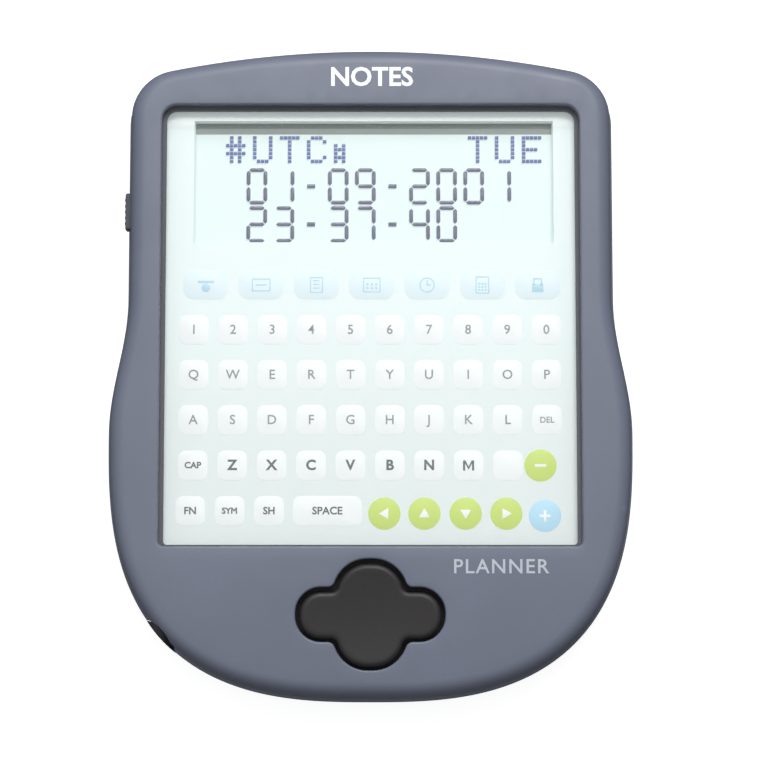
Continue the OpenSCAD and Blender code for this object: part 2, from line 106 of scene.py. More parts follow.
LIDS = {"main_battery_lid": (-13.0, -12.0), "backup_battery_lid": (15.6, -12.0)}
LID_OPEN_R, LUG_OPEN_R = 12.1, 13.0
LUG_OPEN_HALF = math.radians(14)
LID_TURN = math.radians(45)
LID_R, LID_RIM_R, LID_DISH_R, LID_DISH, LID_PLATE = 11.95, 10.3, 9.9, 0.12, 1.2
LUG_R, LUG_HALF, LUG_Z = 12.85, math.radians(12), (1.55, 2.3)
COIN_HALF, COIN_END_R, COIN_LIP, COIN_DEPTH = (6.5, 0.9), 0.85, 0.2, 0.75
SCREWS = [(-34.2, 38.0), (34.2, 38.0), (-24.0, -41.0), (24.0, -41.0)]
COUNTERBORE_R = 1.9
BUZZER_XY, BUZZER_RING, BUZZER_HOLE_R = (20.5, 26.0), 3.0, 0.6
RESET_XY, RESET_R = (30.0, 6.0), 1.1
LABEL = (-26.5, 7.5, 18.0, 34.0)
BUTTON_Y, BUTTON_LENGTH, BUTTON_Z, BUTTON_GAP = 26.2, 6.0, (8.3, 10.5), 0.15

# ---------------------------------------------------------------- camera

VIEW_DISTANCE = 0.400
VIEW_ELEVATION = math.radians(83.4)
FIELD_OF_VIEW = math.radians(17.28)
AIM = Vector((0.00214, -0.0018, 0.012))


def make_camera():
    data = bpy.data.cameras.new("camera")
    data.sensor_width = 36.0
    data.lens = data.sensor_width / 2 / math.tan(FIELD_OF_VIEW / 2)
    data.clip_start, data.clip_end = 0.01, 20.0
    camera = bpy.data.objects.new("camera", data)
    bpy.context.scene.collection.objects.link(camera)
    back = Vector((0, -math.cos(VIEW_ELEVATION), math.sin(VIEW_ELEVATION)))
    camera.location = AIM + back * VIEW_DISTANCE
    camera.rotation_euler = (math.pi / 2 - VIEW_ELEVATION, 0, 0)
    bpy.context.scene.camera = camera


make_camera()

# ---------------------------------------------------------------- materials


def new_material(name, color, roughness, metallic=0.0):
    material = bpy.data.materials.new(name)
    material.use_nodes = True
    shader = material.node_tree.nodes["Principled BSDF"]
    shader.inputs["Base Color"].default_value = (*color, 1)
    shader.inputs["Roughness"].default_value = roughness
    shader.inputs["Metallic"].default_value = metallic
    return material, material.node_tree, shader


def node(tree, kind, **values):
    made = tree.nodes.new(kind)
    for key, value in values.items():
        if hasattr(made, key):
            setattr(made, key, value)
        else:
            made.inputs[key.replace("_", " ")].default_value = value
    return made


def pattern(tree, kind, **values):
    """A texture node laid out in the object's own metres."""
    made = node(tree, kind, **values)
    tree.links.new(node(tree, "ShaderNodeTexCoord").outputs["Object"], made.inputs["Vector"])
    return made


def noise(tree, scale, detail=3.0, roughness=0.55):
    """Noise with a scale in features per metre."""
    return pattern(tree, "ShaderNodeTexNoise", Scale=scale, Detail=detail, Roughness=roughness).outputs["Fac"]


def remap(tree, value, low, high, to_low, to_high):
    limits = {"From_Min": low, "From_Max": high, "To_Min": to_low, "To_Max": to_high}
    made = node(tree, "ShaderNodeMapRange", **limits)
    tree.links.new(value, made.inputs["Value"])
    return made.outputs["Result"]


def mix(tree, factor, first, second):
    made = node(tree, "ShaderNodeMix", data_type="RGBA")
    slots = [s for s in made.inputs if s.enabled]
    for socket, value in zip(slots, (factor, first, second)):
        if isinstance(value, bpy.types.NodeSocket):
            tree.links.new(value, socket)
        elif socket.type == "RGBA":
            socket.default_value = (*value, 1)
        else:
            socket.default_value = value
    return next(s for s in made.outputs if s.enabled)


def glow(shader, color, strength):
    """An emission that makes a pale surface brighter than the lamps make it: painted light on the panel's
    prints and display, an even glow on the floor.
    """
    shader.inputs["Emission Color"].default_value = (*color, 1)
    shader.inputs["Emission Strength"].default_value = strength


def bump(tree, shader, height, distance):
    made = node(tree, "ShaderNodeBump", Distance=distance, Strength=1.0)
    tree.links.new(height, made.inputs["Height"])
    tree.links.new(made.outputs["Normal"], shader.inputs["Normal"])


def shade(color, factor):
    return tuple(min(1.0, c * factor) for c in color)


def edge_wear(tree):
    """1 on convex edges, 0 elsewhere."""
    place = node(tree, "ShaderNodeNewGeometry")
    return remap(tree, place.outputs["Pointiness"], 0.53, 0.62, 0.0, 1.0)


def moulded(name, color, roughness=0.5, grain=5200, wear=0.25):
    """Plastic with a spark-eroded grain, faint blotches, handling marks and paler edges."""
    material, tree, shader = new_material(name, color, roughness)
    blotches = noise(tree, 55, 4)
    grains = noise(tree, grain, 2, 0.6)
    tone = mix(tree, remap(tree, blotches, 0.3, 0.7, 0, 1), shade(color, 0.94), shade(color, 1.06))
    tone = mix(tree, remap(tree, grains, 0.35, 0.65, 0, 0.35), tone, shade(color, 0.8))
    if wear:
        scuffs = node(tree, "ShaderNodeMath", operation="MULTIPLY")
        tree.links.new(edge_wear(tree), scuffs.inputs[0])
        tree.links.new(remap(tree, noise(tree, 900, 4), 0.4, 0.65, 0, wear), scuffs.inputs[1])
        tone = mix(tree, scuffs.outputs[0], tone, shade(color, 1.6))
    tree.links.new(tone, shader.inputs["Base Color"])
    smudges = remap(tree, noise(tree, 140, 5, 0.6), 0.3, 0.7, roughness - 0.06, roughness + 0.08)
    tree.links.new(smudges, shader.inputs["Roughness"])
    bump(tree, shader, grains, 0.000012)
    return material


def metal(name, color, roughness=0.3, brushed=(60, 4000, 60)):
    """Plain metal with fine drawn lines."""
    material, tree, shader = new_material(name, color, roughness, 1.0)
    stretch = pattern(tree, "ShaderNodeMapping", Scale=brushed)
    lines = node(tree, "ShaderNodeTexNoise", Scale=1.0, Detail=4.0)
    tree.links.new(stretch.outputs["Vector"], lines.inputs["Vector"])
    tone = mix(tree, lines.outputs["Fac"], shade(color, 0.82), shade(color, 1.08))
    tree.links.new(tone, shader.inputs["Base Color"])
    rough = remap(tree, lines.outputs["Fac"], 0.3, 0.7, roughness - 0.08, roughness + 0.1)
    tree.links.new(rough, shader.inputs["Roughness"])
    bump(tree, shader, lines.outputs["Fac"], 0.000002)
    return material


def clear_layer(name, color, alpha):
    """Thin clear sheet: a faint tint and a gloss, so that what lies below stays bright."""
    material, tree, shader = new_material(name, color, 0.06)
    shader.inputs["Alpha"].default_value = alpha
    shader.inputs["IOR"].default_value = 1.5
    tree.links.new(remap(tree, noise(tree, 120, 5), 0.35, 0.7, 0.04, 0.14), shader.inputs["Roughness"])
    bump(tree, shader, noise(tree, 30, 1), 0.00001)
    return material


def printed(name, color, roughness=0.45, painted_light=0.0, glow_color=None):
    """Screen print: a thin, slightly uneven ink, which an emission can brighten as painted light."""
    material, tree, shader = new_material(name, color, roughness)
    glow(shader, glow_color or color, painted_light)
    mottle = noise(tree, 2500, 3)
    tree.links.new(mix(tree, mottle, shade(color, 0.96), shade(color, 1.04)), shader.inputs["Base Color"])
    bump(tree, shader, mottle, 0.000002)
    return material


def sheet_print(name, top, low, glow_color):
    """The key sheet's ground: darker towards the lower keys, with a painted highlight along its top edge that
    cancels the shade cast there by the window's edge, and an emission that paints light over all of it.
    """
    material, tree, shader = new_material(name, top, 0.5)
    glow(shader, glow_color, PANEL_PAINTED_LIGHT)
    y = pattern(tree, "ShaderNodeSeparateXYZ").outputs["Y"]
    tone = mix(tree, remap(tree, y, 0.012, -0.014, 0, 1), top, low)
    # Painted highlight: near white along the top edge, against the shadow of the window's edge
    tone = mix(tree, remap(tree, y, 0.0396, 0.0406, 0, 1), tone, (0.96, 1.0, 0.99))
    tone = mix(tree, remap(tree, noise(tree, 2500, 3), 0.3, 0.7, 0, 0.06), tone, shade(low, 0.9))
    tree.links.new(tone, shader.inputs["Base Color"])
    bump(tree, shader, noise(tree, 4000, 2), 0.000002)
    return material


def display_face(name, color, glow_color):
    """Reflective display: pale ground with the faint lines of its electrodes, brightened by an emission that
    is painted light.
    """
    material, tree, shader = new_material(name, color, 0.28)
    glow(shader, glow_color, PANEL_PAINTED_LIGHT)
    wave = pattern(tree, "ShaderNodeTexWave", wave_type="BANDS", bands_direction="X", Scale=230.0)
    tone = mix(tree, remap(tree, wave.outputs["Fac"], 0, 1, 0, 0.05), color, shade(color, 0.7))
    tone = mix(tree, remap(tree, noise(tree, 60, 3), 0.3, 0.7, 0, 0.06), tone, shade(color, 0.86))
    tree.links.new(tone, shader.inputs["Base Color"])
    bump(tree, shader, noise(tree, 6000, 2), 0.000002)
    return material


def board_mask(name):
    """Solder mask over copper traces."""
    material, tree, shader = new_material(name, (0.02, 0.14, 0.06), 0.3)
    cells = pattern(tree, "ShaderNodeTexBrick", Scale=260.0)
    tone = mix(tree, cells.outputs["Fac"], (0.015, 0.12, 0.05), (0.03, 0.22, 0.09))
    tree.links.new(tone, shader.inputs["Base Color"])
    bump(tree, shader, cells.outputs["Fac"], 0.00001)
    return material


def foam(name, color):
    """Soft cells, with painted shade darkening their hollows."""
    material, tree, shader = new_material(name, color, 0.85)
    cells = noise(tree, 4500, 4, 0.7)
    # Painted shade: the hollows between the cells are darkened
    tree.links.new(mix(tree, cells, shade(color, 0.5), shade(color, 1.6)), shader.inputs["Base Color"])
    bump(tree, shader, cells, 0.00004)
    return material


# Strength of the emission that paints light onto the panel's sheet, prints and display
PANEL_PAINTED_LIGHT = 0.22
CASE_COLOR = (0.131, 0.146, 0.198)
M = {
    "case": moulded("case_plastic", CASE_COLOR, 0.46),
    "rear": moulded("rear_plastic", shade(CASE_COLOR, 0.94), 0.5),
    "lid": moulded("lid_plastic", shade(CASE_COLOR, 0.88), 0.5),
    "pad": moulded("pad_plastic", (0.0115, 0.0092, 0.0102), 0.52, grain=3800, wear=0.12),
    "inner": moulded("inner_plastic", (0.04, 0.04, 0.042), 0.5, wear=0),
    "ivory": moulded("ivory_plastic", (0.62, 0.66, 0.65), 0.5, wear=0),
    "foam": foam("black_foam", (0.10, 0.105, 0.115)),
    "film": clear_layer("clear_film", (0.9, 0.98, 0.96), 0.02),
    "glass": clear_layer("clear_glass", (0.85, 0.97, 0.94), 0.02),
    "sheet": sheet_print("printed_sheet", (0.63, 0.70, 0.69), (0.58, 0.62, 0.605), (0.80, 0.94, 0.93)),
    "white": printed("key_print_white", (0.68, 0.70, 0.70), painted_light=PANEL_PAINTED_LIGHT, glow_color=(0.93, 0.97, 0.96)),
    "lime": printed("key_print_lime", (0.54, 0.68, 0.13), painted_light=0.06),
    "blue": printed("key_print_blue", (0.42, 0.68, 0.83), painted_light=0.08),
    "icon": printed("key_print_icon", (0.58, 0.67, 0.70), painted_light=PANEL_PAINTED_LIGHT, glow_color=(0.74, 0.90, 0.96)),
    "icon_ink": printed("key_print_icon_ink", (0.45, 0.68, 0.80)),
    "ink_pale": printed("key_print_ink_pale", (0.26, 0.28, 0.28)),
    "ink": printed("key_print_ink", (0.09, 0.11, 0.11)),
    "mark": printed("mark_print", (0.80, 0.82, 0.85)),
    "mark_grey": printed("mark_print_grey", (0.44, 0.47, 0.52)),
    "display": display_face("lcd_face", (0.62, 0.72, 0.70), (0.74, 0.88, 0.87)),
    "lcd_ink": printed("lcd_ink", (0.085, 0.085, 0.16), 0.3),
    "lcd_blue": printed("lcd_ink_blue", (0.07, 0.11, 0.34), 0.3),
    # Painted shadow at the top of the display: a darker and a greyer strip
    "painted_shadow_dark": printed("lcd_painted_shadow_dark", (0.17, 0.205, 0.175), 0.4),
    "painted_shadow_grey": printed("lcd_painted_shadow_grey", (0.27, 0.31, 0.295), 0.4),
    "lcd_shadow": printed("lcd_ink_shadow", (0.52, 0.60, 0.62), 0.3, 0.15),
    "glass_edge": clear_layer("display_glass", (0.75, 0.92, 0.87), 0.4),
    "foil": metal("reflector_foil", (0.80, 0.82, 0.80), 0.4),
    "strip": printed("strip_rubber", (0.62, 0.42, 0.40), 0.8),
    "board": board_mask("board_green"),
    "epoxy": moulded("black_epoxy", (0.02, 0.02, 0.02), 0.25, grain=900, wear=0),
    "parts": printed("tan_ceramic", (0.40, 0.29, 0.17), 0.6),
    "steel": metal("plain_steel", (0.60, 0.60, 0.62), 0.3),
    "cell": metal("cell_steel", (0.66, 0.66, 0.67), 0.26),
    "brass": metal("contact_brass", (0.80, 0.62, 0.30), 0.3),
    "sleeve": moulded("blue_sleeve", (0.02, 0.04, 0.18), 0.3, wear=0),
    "ceramic": printed("white_ceramic", (0.80, 0.79, 0.75), 0.7),
    "silicone": moulded("silicone", (0.45, 0.47, 0.49), 0.6, grain=2500, wear=0),
    "carbon": foam("carbon_rubber", (0.02, 0.02, 0.02)),
    "flex": printed("flex_circuit", (0.62, 0.28, 0.07), 0.35),
    "stylus": moulded("stylus_plastic", (0.20, 0.22, 0.26), 0.36, wear=0.1),
    "stylus_tip": moulded("stylus_tip_plastic", (0.05, 0.05, 0.055), 0.45, wear=0),
    "button": moulded("button_plastic", (0.070, 0.077, 0.098), 0.5),
    "stylus_head": moulded("stylus_head_plastic", (0.022, 0.022, 0.025), 0.42, wear=0.1),
    "label": metal("label_film", (0.62, 0.63, 0.64), 0.38, brushed=(40, 2500, 40)),
}

CAD_LOOKS = {
    "panel_gasket": "foam", "touch_tail": "flex", "touch_connector": "ivory", "key_sheet": "sheet",
    "display_frame": "ivory", "lcd_polarizer": "display", "lcd_top_glass": "glass_edge",
    "lcd_bottom_glass": "glass_edge", "lcd_reflector": "foil", "lcd_connector_strips": "strip",
    "main_board": "board", "chip_covers": "epoxy", "board_parts": "parts", "crystal_can": "steel",
    "buffer_capacitor": "sleeve", "nav_pivot": "inner", "nav_membrane": "silicone",
    "nav_contact_pills": "carbon", "side_switch": "steel", "side_switch_plunger": "inner",
    "reset_switch": "steel", "reset_plunger": "inner", "buzzer_plate": "brass",
    "buzzer_ceramic": "ceramic", "buzzer_springs": "steel", "main_cell": "cell", "backup_cell": "cell",
    "cell_centre_springs": "brass", "cell_side_contacts": "brass", "board_screws": "steel",
}
for cad_name, look in CAD_LOOKS.items():
    cad_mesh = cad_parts[cad_name].data
    cad_mesh.materials.clear()
    cad_mesh.materials.append(M[look])

# ---------------------------------------------------------------- outlines, in millimetres


def moved(x, y, z):
    return Matrix.Translation(Vector((x, y, z)) * MM)


def lay(ring, z):
    """The points of a ring at height z."""
    return np.column_stack([ring, np.full(len(ring), z)])


def arc(centre, radius, start, end, steps):
    turn = np.linspace(math.radians(start), math.radians(end), steps + 1)
    return np.stack([centre[0] + radius * np.cos(turn), centre[1] + radius * np.sin(turn)], 1)


def line(first, last, steps):
    share = np.linspace(0, 1, steps + 1)[:, None]
    return np.array(first) * (1 - share) + np.array(last) * share


def joined(parts):
    """One closed ring from stretches that meet end to end."""
    ring = np.vstack(parts)
    step = np.linalg.norm(ring - np.roll(ring, 1, axis=0), axis=1)
    return ring[step > 1e-6]


def resampled(ring, count):
    closed = np.vstack([ring, ring[:1]])
    run = np.concatenate([[0], np.cumsum(np.linalg.norm(np.diff(closed, axis=0), axis=1))])
    at = np.linspace(0, run[-1], count, endpoint=False)
    return np.stack([np.interp(at, run, closed[:, k]) for k in (0, 1)], 1)


def case_outline(count=480):
    """The case seen from the front, anticlockwise from the middle of its bottom edge."""
    turn = np.radians(np.linspace(-90, 0, 160))
    low = np.stack([
        HALF_MAX * np.cos(turn) ** (2 / LOW_POWER),
        WIDE_Y - (WIDE_Y + LOW_END) * (-np.sin(turn)).clip(0) ** (2 / LOW_POWER),
    ], 1)
    low[0, 0] = 0
    share = np.linspace(0, 1, 60)
    flare = np.stack([
        HALF_MAX - (HALF_MAX - HALF_TOP) * (1 - np.cos(math.pi * share)) / 2,
        WIDE_Y + (STRAIGHT_Y - WIDE_Y) * share,
    ], 1)
    arc_y = TOP_END - TOP_ARC_R
    corner_x = HALF_TOP - CORNER_R
    corner_y = arc_y + math.sqrt((TOP_ARC_R - CORNER_R) ** 2 - corner_x**2)
    end = math.degrees(math.atan2(corner_y - arc_y, corner_x))
    side = line((HALF_TOP, STRAIGHT_Y), (HALF_TOP, corner_y), 40)
    corner = arc((corner_x, corner_y), CORNER_R, 0, end, 40)
    top = arc((0, arc_y), TOP_ARC_R, end, 90, 80)
    right = np.vstack([low, flare[1:], side[1:], corner[1:], top[1:]])
    left = right[-2:0:-1] * (-1, 1)
    return resampled(np.vstack([right, left]), count)


OUTLINE = case_outline()
OUTWARD = np.roll(OUTLINE, -1, axis=0) - np.roll(OUTLINE, 1, axis=0)
OUTWARD = np.stack([OUTWARD[:, 1], -OUTWARD[:, 0]], 1)
OUTWARD /= np.linalg.norm(OUTWARD, axis=1)[:, None]


def case_ring(inset):
    return OUTLINE - OUTWARD * inset


def rounded_box(x0, x1, y0, y1, r_low, r_top=None, grow=0.0, spacing=1.2):
    """Rounded rectangle grown by grow; rings of one box have equal counts, so they can be joined."""
    r_top = r_low if r_top is None else r_top
    across = max(2, round((x1 - x0) / spacing))
    along = max(2, round((y1 - y0) / spacing))
    a, b = r_low + grow, r_top + grow
    corners = [
        arc((x0 + r_low, y0 + r_low), a, 180, 270, 8), arc((x1 - r_low, y0 + r_low), a, 270, 360, 8),
        arc((x1 - r_top, y1 - r_top), b, 0, 90, 8), arc((x0 + r_top, y1 - r_top), b, 90, 180, 8),
    ]
    parts = []
    for k, corner in enumerate(corners):
        steps = across if k % 2 == 0 else along
        parts += [corner, line(corner[-1], corners[(k + 1) % 4][0], steps)]
    return joined(parts)


def circle(x, y, radius, steps=48):
    return arc((x, y), radius, 0, 360, steps)[:-1]


def clover(margin, grow=0.0):
    """The rocker's clover; margin widens it, and grow is a further parallel offset."""
    end_r = PAD_END_R + margin + grow
    side_r = PAD_SIDE_R + margin + grow
    fillet = PAD_FILLET - grow
    bar_h = PAD_BAR_HALF_H + margin + grow
    end_c = (PAD_BAR_HALF_W - PAD_END_R, PAD_HALF_H - PAD_END_R)
    side_c = (PAD_HALF_W - PAD_SIDE_R, PAD_BAR_HALF_H - PAD_SIDE_R)
    fillet_y = bar_h + fillet
    fillet_x = end_c[0] + math.sqrt((end_r + fillet) ** 2 - (fillet_y - end_c[1]) ** 2)
    meet = math.degrees(math.atan2(fillet_y - end_c[1], fillet_x - end_c[0]))
    side = arc(side_c, side_r, 0, 90, 14)
    inner = arc((fillet_x, fillet_y), fillet, 270, 180 + meet, 8)
    top = arc(end_c, end_r, meet, 90, 14)
    quarter = np.vstack([side, line(side[-1], inner[0], 5)[1:-1], inner, top[1:]])
    mirror = quarter[::-1]
    return joined([quarter, mirror * (-1, 1), quarter * (-1, -1), mirror * (1, -1)]) + (0, PAD_Y)


def lid_opening(centre, grow=0.0):
    """Round opening with two notches that let the lid's lugs in."""
    parts = []
    for side in (0, math.pi):
        middle = side - LID_TURN
        half = LUG_OPEN_HALF + grow / LUG_OPEN_R
        notch = [math.degrees(middle - half), math.degrees(middle + half)]
        parts.append(arc(centre, LUG_OPEN_R + grow, notch[0], notch[1], 10))
        parts.append(arc(centre, LID_OPEN_R + grow, notch[1], math.degrees(middle + math.pi - half), 50))
    return joined(parts)


def inside(points, ring):
    """Which points lie inside a closed ring."""
    result = np.zeros(len(points), bool)
    following = np.roll(ring, -1, axis=0)
    for (ax, ay), (bx, by) in zip(ring, following):
        crosses = (ay > points[:, 1]) != (by > points[:, 1])
        if crosses.any():
            x = ax + (points[:, 1] - ay) * (bx - ax) / (by - ay + 1e-12)
            result ^= crosses & (points[:, 0] < x)
    return result


# ---------------------------------------------------------------- meshes


class Skin:
    """Strips between rings and patches inside rings, in millimetres, welded into one closed mesh."""

    def __init__(self):
        self.points, self.faces, self.count = [], [], 0

    def add_points(self, points):
        start = self.count
        self.points.append(np.asarray(points, float))
        self.count += len(points)
        return start

    def strip(self, rings):
        size = len(rings[0])
        starts = [self.add_points(r) for r in rings]
        for a, b in zip(starts, starts[1:]):
            for i in range(size):
                j = (i + 1) % size
                self.faces.append((a + i, a + j, b + j, b + i))

    def cap(self, ring):
        """One face that closes a flat ring."""
        start = self.add_points(ring)
        self.faces.append(tuple(range(start, start + len(ring))))

    def fan(self, ring):
        """Triangles from the middle of a ring to its edge."""
        start, count = self.add_points(np.vstack([ring, ring.mean(axis=0)])), len(ring)
        self.faces += [(start + i, start + (i + 1) % count, start + count) for i in range(count)]

    def patch(self, outer, holes, height, spacing=1.6):
        """Triangles between a ring and the holes in it; height turns x, y into the full points."""
        rings = [outer, *holes]
        low, high = outer.min(0), outer.max(0)
        xs = np.arange(low[0] + spacing * 0.3, high[0], spacing)
        ys = np.arange(low[1] + spacing * 0.4, high[1], spacing * 0.87)
        grid = np.array([(x + spacing / 2 * (k % 2), y) for k, y in enumerate(ys) for x in xs])
        if len(grid):
            keep = inside(grid, outer)
            for hole in holes:
                keep &= ~inside(grid, hole)
            for ring in rings:
                gap = np.full(len(grid), np.inf)
                for p in ring:
                    gap = np.minimum(gap, np.linalg.norm(grid - p, axis=1))
                keep &= gap > spacing * 0.55
            grid = grid[keep]
        edges, points = [], []
        for ring in rings:
            start = len(points)
            points += [tuple(p) for p in ring]
            edges += [(start + i, start + (i + 1) % len(ring)) for i in range(len(ring))]
        points += [tuple(p) for p in grid]
        flat, _, triangles, *_ = delaunay_2d_cdt([Vector(p) for p in points], edges, [], 0, 1e-6)
        flat = np.array([tuple(p) for p in flat])
        triangles = np.array([tuple(t) for t in triangles])
        middle = flat[triangles].mean(axis=1)
        wanted = inside(middle, outer)
        for hole in holes:
            wanted &= ~inside(middle, hole)
        start = self.add_points(height(flat))
        self.faces += [tuple(int(v) + start for v in t) for t in triangles[wanted]]

    def build(self, name, material, smooth_angle=32.0, transform=None):
        mesh = bpy.data.meshes.new(name)
        points = np.vstack(self.points) * MM
        mesh.from_pydata(points.tolist(), [], self.faces)
        bm = bmesh.new()
        bm.from_mesh(mesh)
        bmesh.ops.remove_doubles(bm, verts=bm.verts, dist=2e-6)
        bmesh.ops.recalc_face_normals(bm, faces=bm.faces)
        if transform is not None:
            bmesh.ops.transform(bm, matrix=transform, verts=bm.verts)
        bm.to_mesh(mesh)
        bm.free()
        return finish_mesh(name, mesh, material, smooth_angle)


def finish_mesh(name, mesh, material, smooth_angle=32.0):
    mesh.materials.clear()
    mesh.materials.append(material)
    mesh.polygons.foreach_set("use_smooth", [True] * len(mesh.polygons))
    mesh.set_sharp_from_angle(angle=math.radians(smooth_angle))
    piece = bpy.data.objects.new(name, mesh)
    bpy.context.scene.collection.objects.link(piece)
    return piece


def at_height(z):
    """A function that lays points at height z, for Skin.patch."""
    return lambda points: lay(points, z)


def evaluated(piece):
    graph = bpy.context.evaluated_depsgraph_get()
    return bpy.data.meshes.new_from_object(piece.evaluated_get(graph))


def cut(piece, cutters, operation="DIFFERENCE"):
    """Cuts closed meshes out of a piece, for good, or keeps only what lies inside them."""
    for cutter in cutters:
        tool = piece.modifiers.new("cut", "BOOLEAN")
        tool.operation, tool.solver, tool.object = operation, "EXACT", cutter
    mesh = evaluated(piece)
    piece.modifiers.clear()
    material = piece.data.materials[0]
    mesh.materials.clear()
    mesh.materials.append(material)
    mesh.polygons.foreach_set("material_index", [0] * len(mesh.polygons))
    mesh.set_sharp_from_angle(angle=math.radians(32))
    piece.data = mesh
    for cutter in cutters:
        bpy.data.objects.remove(cutter)


def soften(piece, width):
    """Rounds the sharp edges of a small piece."""
    tool = piece.modifiers.new("soften", "BEVEL")
    tool.width, tool.segments = width * MM, 3
    tool.limit_method, tool.angle_limit = "ANGLE", math.radians(40)
    mesh = evaluated(piece)
    piece.modifiers.clear()
    piece.data = mesh
    return piece


def place(piece, body, slot, *replaced):
    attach(piece, body)
    if replaced:
        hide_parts(*replaced)
    return piece


def turned(name, profile, material, steps=64, transform=None):
    """Solid of revolution about Z from a profile of (radius, z)."""
    skin = Skin()
    skin.strip([lay(circle(0, 0, r, steps), z) for r, z in profile])
    for r, z in (profile[0], profile[-1]):
        skin.patch(circle(0, 0, r, steps), [], at_height(z), spacing=max(r, 0.5))
    return skin.build(name, material, transform=transform)


def bevelled(profile, radius):
    """Rounds the corners of a stepped profile: first and last points stay."""
    out = [profile[0]]
    for before, here, after in zip(profile, profile[1:], profile[2:]):
        a, h, b = (np.array(p, float) for p in (before, here, after))
        r = min(radius, np.linalg.norm(a - h) * 0.45, np.linalg.norm(b - h) * 0.45)
        start = h + (a - h) / np.linalg.norm(a - h) * r
        end = h + (b - h) / np.linalg.norm(b - h) * r
        for t in np.linspace(0, 1, 5):
            out.append(tuple((1 - t) ** 2 * start + 2 * t * (1 - t) * h + t**2 * end))
    out.append(profile[-1])
    return out


def slab(name, ring_at, low, high, material, bevel=0.1, transform=None, spacing=4.0):
    """Closed plate between two heights with rounded edges; ring_at(grow) gives its outline."""
    skin = Skin()
    turns = np.linspace(0, math.pi / 2, 4)
    under = [(-bevel * (1 - math.sin(t)), low + bevel * (1 - math.cos(t))) for t in turns]
    over = [(g, high + low - z) for g, z in reversed(under)]
    skin.strip([lay(ring_at(g), z) for g, z in under + over])
    skin.patch(ring_at(-bevel), [], at_height(low), spacing)
    skin.patch(ring_at(-bevel), [], at_height(high), spacing)
    return skin.build(name, material, transform=transform)


# ---------------------------------------------------------------- shells


def front_face(y):
    return FACE_Z - np.where(y < CROWN_Y, (CROWN_Y - y) ** 2 / (2 * CROWN_R), 0)


def back_face(y):
    return np.zeros_like(y)


class Opening:
    """An opening in a plate: ring_at(grow), the radius of its lip, and its depth if it isn't through."""

    def __init__(self, ring_at, lip=0.2, depth=None):
        self.ring_at, self.lip, self.depth = ring_at, lip, depth


def shell(name, face, inward, thickness, edge_r, step, seam, openings, material):
    """Half of the case: side wall with a rounded edge, face plate with openings, and its inside."""
    skin = Skin()

    def level(ring, depth):
        return np.column_stack([ring, face(ring[:, 1]) + inward * depth])

    turns = np.linspace(0, math.pi / 2, 13)
    inset = step + DRAFT
    edge = [level(case_ring(inset + edge_r * (1 - math.cos(t))), edge_r * (1 - math.sin(t))) for t in turns]
    joint = [lay(case_ring(back), SEAM_Z - inward * away) for back, away in seam]
    wall_rows = [joint[-1] + (edge[0] - joint[-1]) * s for s in np.linspace(0, 1, 6)[1:-1]]
    skin.strip([
        level(case_ring(DRAFT + WALL), thickness), lay(case_ring(DRAFT + WALL), SEAM_Z),
        *joint, *wall_rows, *edge,
    ])
    for opening in openings:
        lip = opening.lip
        rings = [
            level(opening.ring_at(lip * (1 - math.sin(t))), lip * (1 - math.cos(t)))
            for t in np.linspace(0, math.pi / 2, 6)
        ]
        depth = thickness if opening.depth is None else opening.depth
        skin.strip([*rings, level(opening.ring_at(0.0), depth)])
        if opening.depth is not None:
            skin.patch(opening.ring_at(0.0), [], lambda p, d=depth: level(p, d), 2.0)
    outer = [o.ring_at(o.lip) for o in openings]
    through = [o.ring_at(0.0) for o in openings if o.depth is None]
    skin.patch(case_ring(inset + edge_r), outer, lambda p: level(p, 0.0))
    skin.patch(case_ring(DRAFT + WALL), through, lambda p: level(p, thickness), 3.0)
    return skin.build(name, material, 34.0)


def window_ring(grow):
    return rounded_box(*WINDOW, WINDOW_R_LOW, WINDOW_R_TOP, grow)


def scoop(fit=0.0, rim=0.35):
    """The notch in the case's edge over the stylus, round below and open above, shrunk by fit."""
    r = SCOOP_R - fit
    profile = [(r * math.sin(t), STYLUS_Z - r * math.cos(t)) for t in np.linspace(0.12, math.pi / 2, 18)]
    profile += [(r, FACE_Z - 1.4), (r + rim / 4, FACE_Z - 0.6), (r + rim, FACE_Z + 1)]
    x = STYLUS_X - SCOOP_OUT * math.sin(MOUTH_SLOPE)
    y = MOUTH_Y - SCOOP_OUT * math.cos(MOUTH_SLOPE)
    return turned("scoop", profile, M["case"], 96, moved(x, y, 0))


def make_front():
    openings = [Opening(window_ring, 0.3), Opening(lambda g: clover(PAD_GAP, g), 0.35)]
    front = shell("front_shell", front_face, -1, PLATE, FRONT_R, SEAM_STEP, FRONT_SEAM, openings, M["case"])
    x0, x1 = -HALF_TOP - 3, -HALF_TOP + 2.9
    y0, y1 = BUTTON_Y - BUTTON_LENGTH / 2 - BUTTON_GAP, BUTTON_Y + BUTTON_LENGTH / 2 + BUTTON_GAP
    button_hole = slab(
        "button_hole", lambda g: rounded_box(x0, x1, y0, y1, 0.4, grow=g),
        BUTTON_Z[0] - BUTTON_GAP, BUTTON_Z[1] + BUTTON_GAP, M["case"], bevel=0.3,
    )
    cut(front, [scoop(), button_hole])
    place(front, "case", "case_plastic", "front_housing")


